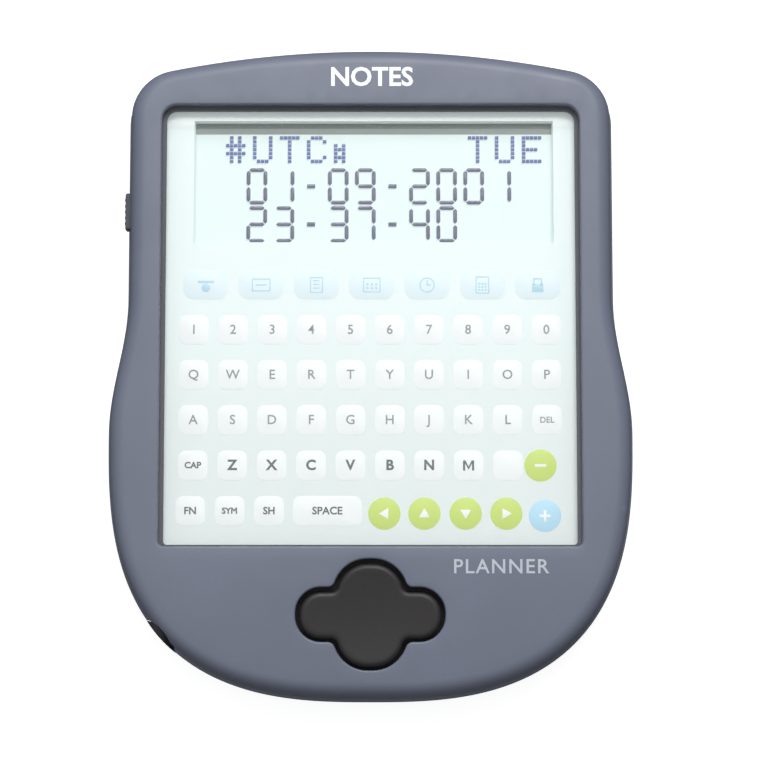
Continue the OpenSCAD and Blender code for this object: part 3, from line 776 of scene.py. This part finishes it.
def make_rear():
    openings = [Opening(lambda g, c=c: lid_opening(c, g), 0.25) for c in LIDS.values()]
    openings += [Opening(lambda g, c=c: circle(*c, COUNTERBORE_R + g), 0.12, depth=1.25) for c in SCREWS]
    openings.append(Opening(lambda g: circle(*RESET_XY, RESET_R + g, 32), 0.25))
    for hole in circle(*BUZZER_XY, BUZZER_RING, 5):
        openings.append(Opening(lambda g, c=hole: circle(*c, BUZZER_HOLE_R + g, 24), 0.12))
    openings.append(Opening(lambda g: rounded_box(*LABEL, 1.0, grow=g), 0.1, depth=0.2))
    rear = shell("rear_shell", back_face, 1, FLOOR_T, BACK_R, 0.0, REAR_SEAM, openings, M["rear"])
    along = moved(STYLUS_X, -30, STYLUS_Z) @ Matrix.Rotation(math.pi / 2, 4, "X")
    silo = turned("silo_cut", [(SILO_R, 0), (SILO_R, 40)], M["rear"], transform=along)
    cut(rear, [scoop(), silo])
    place(rear, "case", "rear_plastic", "rear_housing")


def stylus_ring(radius, y, slanted=False):
    """Ring round the stylus axis, square to it or slanted like the mouth."""
    ring = circle(0, 0, radius)
    slope = math.tan(MOUTH_SLOPE) if slanted else 0.0
    return np.column_stack([STYLUS_X + ring[:, 0], y - ring[:, 0] * slope, STYLUS_Z + ring[:, 1]])


def stylus_part(name, profile, look, slot, *replaced, slanted=0):
    """Turned piece of the stylus from a profile of (radius, y); its first slanted rings lean."""
    rings = [stylus_ring(r, y, k < slanted) for k, (r, y) in enumerate(profile)]
    skin = Skin()
    skin.strip(rings)
    skin.fan(rings[0])
    skin.fan(rings[-1])
    place(skin.build(name, M[look]), "stylus", slot, *replaced)


def make_silo():
    """The tube that holds the stylus, open at the mouth, with a small vent at its end."""
    mouth = MOUTH_Y + 1.45 / math.cos(MOUTH_SLOPE)
    profile = [
        (SILO_OUTER_R, SILO_STRAIGHT_Y), (SILO_OUTER_R, SILO_END + 1.4), (SILO_VENT_R, SILO_END + 1.4),
        (SILO_VENT_R, SILO_END), (SILO_R, SILO_END), (SILO_R, SILO_STRAIGHT_Y),
    ]
    ends = [stylus_ring(r, mouth, slanted=True) for r in (SILO_R, SILO_OUTER_R)]
    skin = Skin()
    skin.strip([*ends, *(stylus_ring(r, y) for r, y in profile), ends[0]])
    place(skin.build("stylus_silo", M["rear"]), "case", "rear_plastic")


make_front()
make_rear()
make_silo()

# ---------------------------------------------------------------- panel

SHEET_Z = float(box_mm("key_sheet")[1][2])
LCD_Z = float(box_mm("lcd_polarizer")[1][2])


def make_panel():
    for name, gap_low, gap_high, look, slot in (
        ("touch_film", 0.03, 0.0, "film", "clear_film"), ("touch_glass", 0.2, 0.03, "glass", "clear_glass"),
    ):
        low, high = box_mm(name)
        sheet = slab(
            name + "_layer", lambda g, a=low, b=high: rounded_box(a[0], b[0], a[1], b[1], 1.5, 2.5, g),
            low[2] + gap_low, high[2] - gap_high, M[look], bevel=0.04, spacing=8.0,
        )
        place(sheet, "case", slot, name)


make_panel()

# ---------------------------------------------------------------- prints

PRINT_T, MARK_T = 0.045, 0.03
KEY_PITCH, ROW_PITCH = 6.22, 7.2
FIRST_KEY = (-28.05, 6.9)
KEY_SIZE, KEY_R = 4.7, 1.25
ICON_Y, ICON_PITCH, ICON_SIZE = 14.1, 8.8, (7.2, 4.6)
SPACE_X, SPACE_W = -6.8, 10.9
LIME_X, LIME_DROP = [2.2, 8.5, 15.0, 21.4], 0.4
BLUE_X, BLUE_DROP = 27.5, 0.75
MINUS_SHIFT = 1.1
DOT_R = 2.55
MODIFIER_SHIFT = 0.35
INK_Z = SHEET_Z + 0.004
LEGEND_Z = INK_Z + PRINT_T + 0.002


def prints(name, rings, z, material, slot, thickness=PRINT_T):
    """Thin flat shapes lying at height z, joined into one piece."""
    skin = Skin()
    for ring in rings:
        inner = ring - (ring - ring.mean(axis=0)) * 0.02
        levels = [lay(ring, z), lay(ring, z + thickness * 0.7), lay(inner, z + thickness)]
        skin.strip(levels)
        skin.cap(levels[0])
        skin.cap(levels[-1])
    return place(skin.build(name, material), "case", slot)


def key_ring(x, y, width=KEY_SIZE, height=KEY_SIZE, radius=KEY_R):
    return rounded_box(x - width / 2, x + width / 2, y - height / 2, y + height / 2, radius)


def words(name, items, z, material, slot, thickness=PRINT_T, spread=1.0):
    """Lettering from Blender's own font. items are (text, x, y, capital height, weight), centred."""
    whole = bmesh.new()
    for text, x, y, height, weight in items:
        data = bpy.data.curves.new("letters", "FONT")
        data.body = text
        data.align_x, data.align_y = "CENTER", "CENTER"
        data.size = height * 1.4 * MM
        data.offset = weight * MM
        data.space_character = spread
        data.extrude = thickness / 2 * MM
        data.resolution_u = 3
        letters = bpy.data.objects.new("letters", data)
        bpy.context.scene.collection.objects.link(letters)
        bpy.context.view_layer.update()
        mesh = evaluated(letters)
        mesh.transform(moved(x, y, z + thickness / 2))
        whole.from_mesh(mesh)
        bpy.data.objects.remove(letters)
        bpy.data.meshes.remove(mesh)
    bmesh.ops.remove_doubles(whole, verts=whole.verts, dist=1e-7)
    mesh = bpy.data.meshes.new(name)
    whole.to_mesh(mesh)
    whole.free()
    return place(finish_mesh(name, mesh, material, 25.0), "case", slot)


def key_at(column, row):
    return FIRST_KEY[0] + KEY_PITCH * column, FIRST_KEY[1] - ROW_PITCH * row


LOW_ROW_Y = key_at(0, 4)[1]
MINUS_KEY = (key_at(9, 3)[0] - MINUS_SHIFT, key_at(9, 3)[1])


def letter_m(x, y, width, height, stroke):
    """Outline of a capital M, which the font's own glyph fills wrongly when it is made heavier."""
    half = [(-0.5, -0.5), (-0.5, 0.5), (-0.5 + 1.2 * stroke / width, 0.5)]
    inner = [(0.5 - stroke / width, -0.5), (0.5 - stroke / width, 0.22), (0.0, -0.42)]
    upper = half + [(0.0, -0.12)] + [(-u, v) for u, v in reversed(half)]
    lower = inner + [(-u, v) for u, v in reversed(inner[:2])]
    return np.array(upper + lower) * (width, height) + (x, y)


def make_keys():
    """White pads in five rows, round lime and blue keys, and the legends."""
    pads = [key_ring(*key_at(c, r)) for r in range(4) for c in range(10) if (c, r) != (9, 3)]
    pads += [key_ring(key_at(c, 4)[0] - MODIFIER_SHIFT, LOW_ROW_Y) for c in range(3)]
    pads.append(key_ring(SPACE_X, LOW_ROW_Y, SPACE_W))
    prints("key_pads", pads, INK_Z, M["white"], "key_print_white")
    lime = [circle(x, LOW_ROW_Y - LIME_DROP, DOT_R) for x in LIME_X] + [circle(*MINUS_KEY, DOT_R)]
    prints("key_dots_lime", lime, INK_Z, M["lime"], "key_print_lime")
    blue = circle(BLUE_X, LOW_ROW_Y - BLUE_DROP, DOT_R)
    prints("key_dot_blue", [blue], INK_Z, M["blue"], "key_print_blue")

    upper = ["1234567890", "QWERTYUIOP", "ASDFGHJKL"]
    pale = [(t, *key_at(c, r), 1.5, 0.02) for r, row in enumerate(upper) for c, t in enumerate(row)]
    pale.append(("DEL", *key_at(9, 2), 0.95, 0.02))
    words("key_legends_upper", pale, LEGEND_Z, M["ink_pale"], "key_print_ink")
    dark = [(t, *key_at(c + 1, 3), 1.6, 0.07) for c, t in enumerate("ZXCVBN")]
    dark.append(("CAP", *key_at(0, 3), 1.0, 0.04))
    for c, (text, height) in enumerate([("FN", 1.15), ("SYM", 0.95), ("SH", 1.15)]):
        dark.append((text, key_at(c, 4)[0] - MODIFIER_SHIFT, LOW_ROW_Y, height, 0.04))
    dark.append(("SPACE", SPACE_X, LOW_ROW_Y, 1.2, 0.04))
    words("key_legends_lower", dark, LEGEND_Z, M["ink"], "key_print_ink")
    prints("key_legend_m", [letter_m(*key_at(7, 3), 1.75, 1.6, 0.32)], LEGEND_Z, M["ink"], "key_print_ink")


def arrow(x, y, size, turn):
    """Arrow head that points right, turned by a number of quarter turns."""
    shape = np.array([(0.5, 0.0), (-0.35, 0.5), (-0.35, -0.5)]) * size
    for _ in range(turn):
        shape = np.column_stack([-shape[:, 1], shape[:, 0]])
    return shape + (x, y)


def bar(x0, y0, x1, y1, width):
    """Flat line from one point to another."""
    along = np.array([x1 - x0, y1 - y0], float)
    along /= np.linalg.norm(along)
    across = np.array([-along[1], along[0]]) * width / 2
    a, b = np.array([x0, y0]), np.array([x1, y1])
    return np.array([a - across, b - across, b + across, a + across])


def cross(x, y, reach, half):
    """Outline of a plus sign."""
    quarter = np.array([(reach, -half), (reach, half), (half, half)])
    parts = [quarter]
    for _ in range(3):
        parts.append(np.column_stack([-parts[-1][:, 1], parts[-1][:, 0]]))
    return np.vstack(parts) + (x, y)


def frame_lines(x, y, w, h):
    """Outline of a rectangle from four bars."""
    a, b, c, d = x - w / 2, x + w / 2, y - h / 2, y + h / 2
    return [bar(*ends, 0.18) for ends in ((a, c, b, c), (a, d, b, d), (a, c, a, d), (b, c, b, d))]


def dot_grid(x, y, across, down, radius):
    return [circle(x + dx, y + dy, radius, 12) for dx in across for dy in down]


def clock(x, y, radius, width):
    """Round face from twelve bars, with two hands."""
    rim = circle(x, y, radius, 12)
    face = [bar(*a, *b, width) for a, b in zip(rim, np.roll(rim, -1, axis=0))]
    return face + [bar(x, y, x, y + 0.8, width), bar(x, y, x + 0.6, y, width)]


def make_icons():
    """Soft keys with plain pictograms, and the marks on the round keys."""
    y = ICON_Y
    xs = [(k - 3) * ICON_PITCH + 0.2 for k in range(7)]
    prints("soft_keys", [key_ring(x, y, *ICON_SIZE, 1.7) for x in xs], INK_Z, M["icon"], "key_print_blue")

    handset, card, note, calendar, watch, sums, lock = xs
    marks = [bar(handset - 1.3, y + 0.5, handset + 1.3, y + 0.5, 0.4), circle(handset, y - 0.45, 0.7, 24)]
    marks += frame_lines(card, y, 2.8, 1.9) + [bar(card - 0.9, y, card + 0.9, y, 0.2)]
    marks += frame_lines(note, y, 1.9, 2.4)
    marks += [bar(note - 0.5, y + d, note + 0.5, y + d, 0.2) for d in (-0.5, 0.1, 0.7)]
    marks += frame_lines(calendar, y, 2.6, 2.2) + dot_grid(calendar, y, (-0.7, 0, 0.7), (-0.5, 0.1), 0.2)
    marks += clock(watch, y, 1.15, 0.2)
    marks += frame_lines(sums, y, 2.0, 2.6) + dot_grid(sums, y, (-0.5, 0, 0.5), (-0.8, -0.3, 0.2), 0.18)
    marks.append(bar(lock - 0.9, y - 0.5, lock + 0.9, y - 0.5, 1.3))
    marks += [bar(lock + side, y, lock + side, y + 0.9, 0.22) for side in (-0.6, 0.6)]
    marks.append(bar(lock - 0.7, y + 1.0, lock + 0.7, y + 1.0, 0.22))
    prints("soft_key_marks", marks, LEGEND_Z, M["icon_ink"], "key_print_ink", 0.02)

    signs = [arrow(x, LOW_ROW_Y - LIME_DROP, 1.7, turn) for x, turn in zip(LIME_X, (2, 1, 3, 0))]
    x, y = MINUS_KEY
    signs += [bar(x - 0.9, y, x + 0.9, y, 0.4), cross(BLUE_X, LOW_ROW_Y - BLUE_DROP, 0.9, 0.2)]
    prints("key_dot_marks", signs, LEGEND_Z, M["white"], "key_print_white", 0.02)


def make_marks():
    """Plain wording on the case in place of the photo's marks."""
    upper = [("NOTES", 0.15, 47.0, 3.0, 0.1)]
    words("case_wording_top", upper, FACE_Z + 0.002, M["mark"], "mark_print", MARK_T)
    lower = [("PLANNER", 20.35, -30.85, 2.25, 0.03)]
    low = words("case_wording_low", lower, 0.0, M["mark_grey"], "mark_print", MARK_T, 1.14)
    for v in low.data.vertices:
        v.co.z += (float(front_face(np.array(v.co.y / MM))) + 0.004) * MM


make_keys()
make_icons()
make_marks()

# ---------------------------------------------------------------- display

LCD_VIEW = (-28.2, 29.2, 21.0, 40.7)
DIGIT_W, DIGIT_H, STROKE = 2.7, 5.3, 0.62
DIGIT_PITCH, FIRST_DIGIT_X = 4.35, -18.25
DATE_Y, TIME_Y, TITLE_Y = 30.4, 24.2, 36.4
LETTER_PITCH, ZONE_X, DAY_X = 4.34, -21.7, 17.2
# Heights of the painted shadow that the key sheet's edge casts on the top of the display
PAINTED_SHADOW_TOP, PAINTED_SHADOW_MIDDLE, PAINTED_SHADOW_LOW = LCD_VIEW[3] - 0.05, 39.75, 38.85
SEGMENTS = {
    "0": "abcdef", "1": "bc", "2": "abged", "3": "abgcd", "4": "fgbc", "5": "afgcd",
    "6": "afgedc", "7": "abc", "8": "abcdefg", "9": "gfabcd",
}
# Dot patterns; "=" stands for a small mark behind the time zone
DOTS = {
    "#": [".#.#.", ".#.#.", "#####", ".#.#.", "#####", ".#.#.", ".#.#."],
    "U": ["#...#"] * 6 + [".###."],
    "T": ["#####"] + ["..#.."] * 6,
    "C": [".###.", "#...#", "#....", "#....", "#....", "#...#", ".###."],
    "=": [".....", ".....", "#.#..", "###..", "#.#..", "###..", "#.#.."],
    "E": ["#####", "#....", "#....", "####.", "#....", "#....", "#####"],
}
DOT_PITCH, DOT_SIZE = 0.64, 0.57


def segment(x, y, name):
    """One of seven segments of a digit centred at x, y: a bar with pointed ends."""
    w, h, s = DIGIT_W / 2, DIGIT_H / 2, STROKE / 2
    gap = 0.1
    ends = {
        "a": ((-w, h), (w, h)), "g": ((-w, 0), (w, 0)), "d": ((-w, -h), (w, -h)),
        "f": ((-w, 0), (-w, h)), "b": ((w, 0), (w, h)), "e": ((-w, -h), (-w, 0)), "c": ((w, -h), (w, 0)),
    }[name]
    a, b = (np.array(e) + (x, y) for e in ends)
    along = (b - a) / np.linalg.norm(b - a)
    across = np.array([-along[1], along[0]]) * s
    a, b = a + along * gap, b - along * gap
    tip = along * s
    return np.array([a, a + tip - across, b - tip - across, b, b - tip + across, a + tip + across])


def digits(text, y):
    shapes = []
    for k, letter in enumerate(text):
        x = FIRST_DIGIT_X + DIGIT_PITCH * k
        if letter == "-":
            shapes.append(bar(x - 0.65, y, x + 0.65, y, 0.7))
        else:
            shapes += [segment(x, y, s) for s in SEGMENTS[letter]]
    return shapes


def dot_letters(text, x, y):
    """Letters of five by seven square dots."""
    shapes = []
    for k, letter in enumerate(text):
        for row, line_dots in enumerate(DOTS[letter]):
            for column, dot in enumerate(line_dots):
                if dot == "#":
                    cx = x + LETTER_PITCH * k + (column - 2) * DOT_PITCH
                    cy = y + (3 - row) * DOT_PITCH
                    shapes.append(bar(cx - DOT_SIZE / 2, cy, cx + DOT_SIZE / 2, cy, DOT_SIZE))
    return shapes


def make_display():
    """A painted shadow at the top edge, a dark strip over a grey one, then the date, the time and the title,
    each over its faint painted shadow.
    """
    for name, y0, y1, look in (
        ("upper", PAINTED_SHADOW_MIDDLE, PAINTED_SHADOW_TOP, "painted_shadow_dark"), ("lower", PAINTED_SHADOW_LOW, PAINTED_SHADOW_MIDDLE, "painted_shadow_grey"),
    ):
        band = rounded_box(LCD_VIEW[0] + 0.1, LCD_VIEW[1] - 0.1, y0, y1, 0.05, spacing=8)
        prints("lcd_painted_shadow_" + name, [band], LCD_Z + 0.002, M[look], "lcd_ink", 0.006)
    numbers = digits("01-09-2001", DATE_Y) + digits("23-37-40", TIME_Y)
    title = dot_letters("#UTC=", ZONE_X, TITLE_Y) + dot_letters("TUE", DAY_X, TITLE_Y)
    shadows = [shape + (-0.12, -0.22) for shape in numbers + title]
    prints("lcd_shadows", shadows, LCD_Z + 0.003, M["lcd_shadow"], "lcd_ink", 0.004)
    prints("lcd_digits", numbers, LCD_Z + 0.012, M["lcd_ink"], "lcd_ink", 0.01)
    prints("lcd_title", title, LCD_Z + 0.012, M["lcd_blue"], "lcd_ink", 0.01)


make_display()

# ---------------------------------------------------------------- rocker pad


def make_rocker():
    """Clover with rounded edges, a dished top and a hidden flange."""
    def dish(points):
        x, y = points[:, 0], points[:, 1] - PAD_Y
        return PAD_TOP - PAD_DISH * np.clip(1 - (x / DISH_HALF_W) ** 2 - (y / DISH_HALF_H) ** 2, 0, 1)

    top_ring = clover(0.0, -PAD_ROUND)
    rim = dish(top_ring)
    edge = []
    for t in np.linspace(0, math.pi / 2, 9):
        ring = clover(0.0, -PAD_ROUND * (1 - math.cos(t)))
        edge.append(np.column_stack([ring, PAD_TOP - PAD_ROUND + (rim - PAD_TOP + PAD_ROUND) * math.sin(t)]))
    flange = clover(PAD_GAP + FLANGE_LIP)
    flange[:, 1] = np.minimum(flange[:, 1], PAD_Y + FLANGE_REACH)
    skin = Skin()
    skin.strip([lay(flange, FLANGE_LOW), lay(flange, FLANGE_TOP), lay(clover(0.0), FLANGE_TOP), *edge])
    skin.patch(flange, [], at_height(FLANGE_LOW), 3.0)
    skin.patch(top_ring, [], lambda p: np.column_stack([p, dish(p)]), 0.45)
    move = moved(0, PAD_Y, PAD_FRAME_Z) @ Matrix.Rotation(PAD_TILT, 4, "X") @ moved(0, -PAD_Y, 0)
    rocker = skin.build("rocker_pad", M["pad"], 34.0, move)
    place(rocker, "nav_pad", "pad_plastic", "nav_pad")


make_rocker()

# ---------------------------------------------------------------- side button


def make_side_button():
    """Cap with grip ribs, the lip behind the wall and the stem that meets the switch."""
    low, high = box_mm("side_button")
    inner_x = -HALF_TOP + DRAFT + WALL
    upright = Matrix.Rotation(math.radians(-90), 4, "Y")

    def around(middle, half):
        return middle - half, middle + half

    def block(name, xs, ys, zs, radius, bevel, *replaced):
        """Rounded block that runs along X, built along Z and then turned."""
        made = slab(
            name, lambda g: rounded_box(*zs, *ys, radius, grow=g, spacing=0.5), -xs[1], -xs[0],
            M["button"], bevel=bevel, transform=upright, spacing=1.0,
        )
        place(made, "side_button", "case_plastic", *replaced)

    cap_y = around(BUTTON_Y, BUTTON_LENGTH / 2)
    block("button_cap", (low[0], inner_x + 0.5), cap_y, BUTTON_Z, 0.5, 0.25, "side_button")
    rib_x, rib_z = (low[0] - 0.12, low[0] + 0.2), around(sum(BUTTON_Z) / 2, 0.75)
    for k in range(5):
        block(f"button_rib_{k}", rib_x, around(BUTTON_Y + (k - 2) * 0.95, 0.2), rib_z, 0.15, 0.1)
    block("button_lip", (inner_x + 0.06, inner_x + 0.8), (low[1], high[1]), (low[2], high[2]), 0.3, 0.05)
    stem_z = (low[2] + 0.01, low[2] + 0.69)
    block("button_stem", (inner_x + 0.75, high[0]), around(BUTTON_Y, 1), stem_z, 0.1, 0.05)


make_side_button()

# ---------------------------------------------------------------- battery lids


def make_lid(name, centre):
    """Round lid with a coin slot, two lugs and a raised turn mark, seen from the back."""
    low, high = box_mm(name)
    plate_z, dish_z, coin_z = low[2] + LID_PLATE, low[2] + LID_DISH, low[2] + COIN_DEPTH
    profile = [(LID_RIM_R, plate_z), (LID_RIM_R, high[2]), (LID_R - 0.15, high[2]), (LID_R - 0.15, plate_z)]
    face = [(LID_R, plate_z), (LID_R, low[2]), (10.6, low[2]), (LID_RIM_R, dish_z), (LID_DISH_R, dish_z)]
    profile += bevelled(face, 0.3)

    def disc(radius):
        return circle(*centre, radius, 128)

    def coin_slot(grow=0.0):
        (x, y), (half_w, half_h) = centre, COIN_HALF
        box = (x - half_w, x + half_w, y - half_h, y + half_h)
        return rounded_box(*box, COIN_END_R, grow=grow, spacing=0.8)

    skin = Skin()
    skin.strip([lay(disc(r), z) for r, z in profile])
    skin.patch(disc(LID_RIM_R), [], at_height(plate_z), 3.0)
    lip = [
        lay(coin_slot(COIN_LIP * (1 - math.sin(t))), dish_z + COIN_LIP * (1 - math.cos(t)))
        for t in np.linspace(0, math.pi / 2, 5)
    ]
    skin.strip([*lip, lay(coin_slot(), coin_z)])
    skin.patch(coin_slot(), [], at_height(coin_z), 1.5)
    skin.patch(disc(LID_DISH_R), [coin_slot(COIN_LIP)], at_height(dish_z), 1.5)
    place(skin.build(name + "_cap", M["lid"], 34.0), name, "lid_plastic", name)

    for k, side in enumerate((0, math.pi)):
        def lug_ring(g, middle=side):
            half = LUG_HALF + g / 12
            start, end = math.degrees(middle - half), math.degrees(middle + half)
            return joined([arc(centre, LUG_R + g, start, end, 10), arc(centre, 11.6 - g, end, start, 10)])
        lug = slab(f"{name}_lug_{k}", lug_ring, *LUG_Z, M["lid"], bevel=0.08, spacing=1.0)
        place(lug, name, "lid_plastic")
    def mark_ring(g):
        return circle(centre[0], centre[1] + 11.0, 0.4 + g, 20)
    mark = slab(f"{name}_dot", mark_ring, low[2] - 0.05, low[2] + 0.2, M["mark"], bevel=0.05)
    place(mark, name, "mark_print")


for lid_name, lid_centre in LIDS.items():
    make_lid(lid_name, lid_centre)

# ---------------------------------------------------------------- stylus


def stylus_cap():
    """The head's end: a round bar along the stylus that fills the notch out to the case's outline."""
    along = moved(STYLUS_X, 0, STYLUS_Z) @ Matrix.Rotation(math.pi / 2, 4, "X")
    bar_ends = [(CAP_R, -MOUTH_Y - 6), (CAP_R, -MOUTH_Y + 6)]
    cap = turned("stylus_head_cap", bar_ends, M["stylus_head"], transform=along)
    within = slab("within", lambda g: case_ring(-CAP_PROUD - g), -3, 12, M["stylus_head"])
    cut(cap, [scoop(CAP_FIT, 0.0), within], "INTERSECT")
    return soften(cap, 0.15)


def grooves(start, radius, depth, pitch, count):
    """Profile points of grooves round the stylus."""
    steps = ((0.0, 0.0), (depth, 0.15), (depth, 0.45), (0.0, 0.6))
    return [(radius - inward, start + k * pitch + ahead) for k in range(count) for inward, ahead in steps]


def make_stylus():
    """Head with a slanted end and finger grooves, shaft with grip rings, and a rounded nib."""
    low, high = box_mm("stylus_barrel")
    radius = (high[0] - low[0]) / 2
    r, end = radius + 0.08, box_mm("stylus_head")[1][1]
    y = MOUTH_Y + 0.6 / math.cos(MOUTH_SLOPE)
    profile = [(r - 0.1, y), (r, y + 0.1), (r, y + 1.4), *grooves(-36.6, r, 0.18, 0.9, 4)]
    profile += [(r, end - 0.15), (r - 0.15, end)]
    stylus_part("stylus_head_neck", profile, "stylus_head", "stylus_head_plastic", "stylus_head", slanted=3)
    place(stylus_cap(), "stylus", "stylus_head_plastic")

    profile = [(radius - 0.15, low[1]), (radius, low[1] + 0.15), *grooves(high[1] - 13, radius, 0.14, 1.1, 9)]
    profile += [(radius, high[1] - 0.1), (radius - 0.1, high[1])]
    stylus_part("stylus_shaft", profile, "stylus", "stylus_plastic", "stylus_barrel")

    low, high = box_mm("stylus_tip")
    cone = [(radius - 0.12, 0.0), (radius - 0.05, 0.3), (1.25, 1.6), (0.72, 3.1), (0.55, 4.0)]
    profile = [(r, low[1] + ahead) for r, ahead in cone]
    profile += [(0.5 * math.cos(t), high[1] - 0.5 + 0.5 * math.sin(t)) for t in np.linspace(0.1, 1.45, 7)]
    stylus_part("stylus_nib", profile, "stylus_tip", "stylus_tip_plastic", "stylus_tip")


make_stylus()

# ---------------------------------------------------------------- screws and label


def make_screws():
    """Pan heads with a cross recess, seen from the back."""
    profile = [(0.95, 9.2), (0.95, 1.25), (1.7, 1.24), (1.7, 0.75), (1.6, 0.55), (1.35, 0.43), (0.9, 0.4)]
    for k, (x, y) in enumerate(SCREWS):
        at = moved(x, y, 0)
        screw = turned(f"housing_screw_{k}", profile, M["steel"], 48, at)
        arms = []
        for turn in (20 * k, 20 * k + 90):
            arms.append(slab(
                "arm", lambda g: rounded_box(-1.1, 1.1, -0.24, 0.24, 0.1, grow=g), -0.5, 1.0, M["steel"],
                bevel=0.05, transform=at @ Matrix.Rotation(math.radians(turn), 4, "Z"),
            ))
        cut(screw, arms)
        place(screw, "case", "plain_steel", *(["housing_screws"] if k == 0 else []))


def make_label():
    low, high = box_mm("back_label")
    label = slab(
        "blank_label", lambda g: rounded_box(low[0], high[0], low[1], high[1], 0.8, grow=g), low[2], high[2],
        M["label"], bevel=0.03, spacing=6.0,
    )
    place(label, "case", "label_film", "back_label")


make_screws()
make_label()

# ---------------------------------------------------------------- studio

FLOOR_Z, FLOOR_GLOW = -0.00002, 0.80
DOME = (0.12, 0.62)
# Name, place, size and power of each light, in metres and watts
LIGHTS = [
    ("key_light", (0.04, 0.36, 0.50), 0.35, 3.4),
    ("fill_light", (-0.45, -0.30, 0.60), 0.6, 0.5),
]


def make_floor():
    """Pale floor that curves up into a wall. Only the camera sees it, so it sends no light back."""
    profile = [(0.0, 0.0), (0.4, 0.0), (1.6, 0.0)]
    profile += [(1.6 + 1.2 * math.sin(t), 1.2 - 1.2 * math.cos(t)) for t in np.linspace(0.1, math.pi / 2, 12)]
    profile += [(2.8, 4.0)]
    steps = 96
    turns = np.linspace(0, 2 * math.pi, steps, endpoint=False)
    points = [(0, 0, FLOOR_Z)]
    for r, z in profile[1:]:
        points += [(r * math.cos(t), r * math.sin(t), z + FLOOR_Z) for t in turns]
    faces = [(0, 1 + i, 1 + (i + 1) % steps) for i in range(steps)]
    for k in range(len(profile) - 2):
        a, b = 1 + k * steps, 1 + (k + 1) * steps
        faces += [(a + i, b + i, b + (i + 1) % steps, a + (i + 1) % steps) for i in range(steps)]
    mesh = bpy.data.meshes.new("floor")
    mesh.from_pydata(points, [], faces)
    mesh.polygons.foreach_set("use_smooth", [True] * len(faces))
    material, tree, shader = new_material("pale_floor", (0.5, 0.5, 0.5), 0.9)
    shader.inputs["Specular IOR Level"].default_value = 0.0
    glow(shader, (1, 1, 1), FLOOR_GLOW)
    tone = mix(tree, noise(tree, 6, 2), (0.5, 0.5, 0.5), (0.52, 0.52, 0.52))
    tree.links.new(tone, shader.inputs["Base Color"])
    mesh.materials.append(material)
    floor = bpy.data.objects.new("floor", mesh)
    bpy.context.scene.collection.objects.link(floor)
    floor.visible_diffuse = False
    floor.visible_glossy = False
    floor.visible_shadow = False


def make_world():
    """Soft dome: bright overhead and towards the top of the case, dim at the horizon and below."""
    world = bpy.data.worlds.new("studio")
    world.use_nodes = True
    tree = world.node_tree
    sky = tree.nodes["Background"]
    parts = node(tree, "ShaderNodeSeparateXYZ")
    tree.links.new(node(tree, "ShaderNodeTexCoord").outputs["Generated"], parts.inputs[0])
    height = node(tree, "ShaderNodeMath", operation="MULTIPLY_ADD")
    tree.links.new(parts.outputs["Y"], height.inputs[0])
    height.inputs[1].default_value = 0.35
    tree.links.new(parts.outputs["Z"], height.inputs[2])
    tree.links.new(remap(tree, height.outputs[0], -0.25, 1.0, *DOME), sky.inputs["Strength"])
    sky.inputs["Color"].default_value = (0.975, 0.985, 1.0, 1)
    bpy.context.scene.world = world


def make_lights():
    for name, place_at, size, power in LIGHTS:
        data = bpy.data.lights.new(name, "AREA")
        data.shape, data.size, data.energy = "SQUARE", size, power
        light = bpy.data.objects.new(name, data)
        light.location = place_at
        light.rotation_euler = (-Vector(place_at)).to_track_quat("-Z", "Y").to_euler()
        bpy.context.scene.collection.objects.link(light)


make_floor()
make_world()
make_lights()
bpy.context.scene.view_settings.view_transform = "Standard"
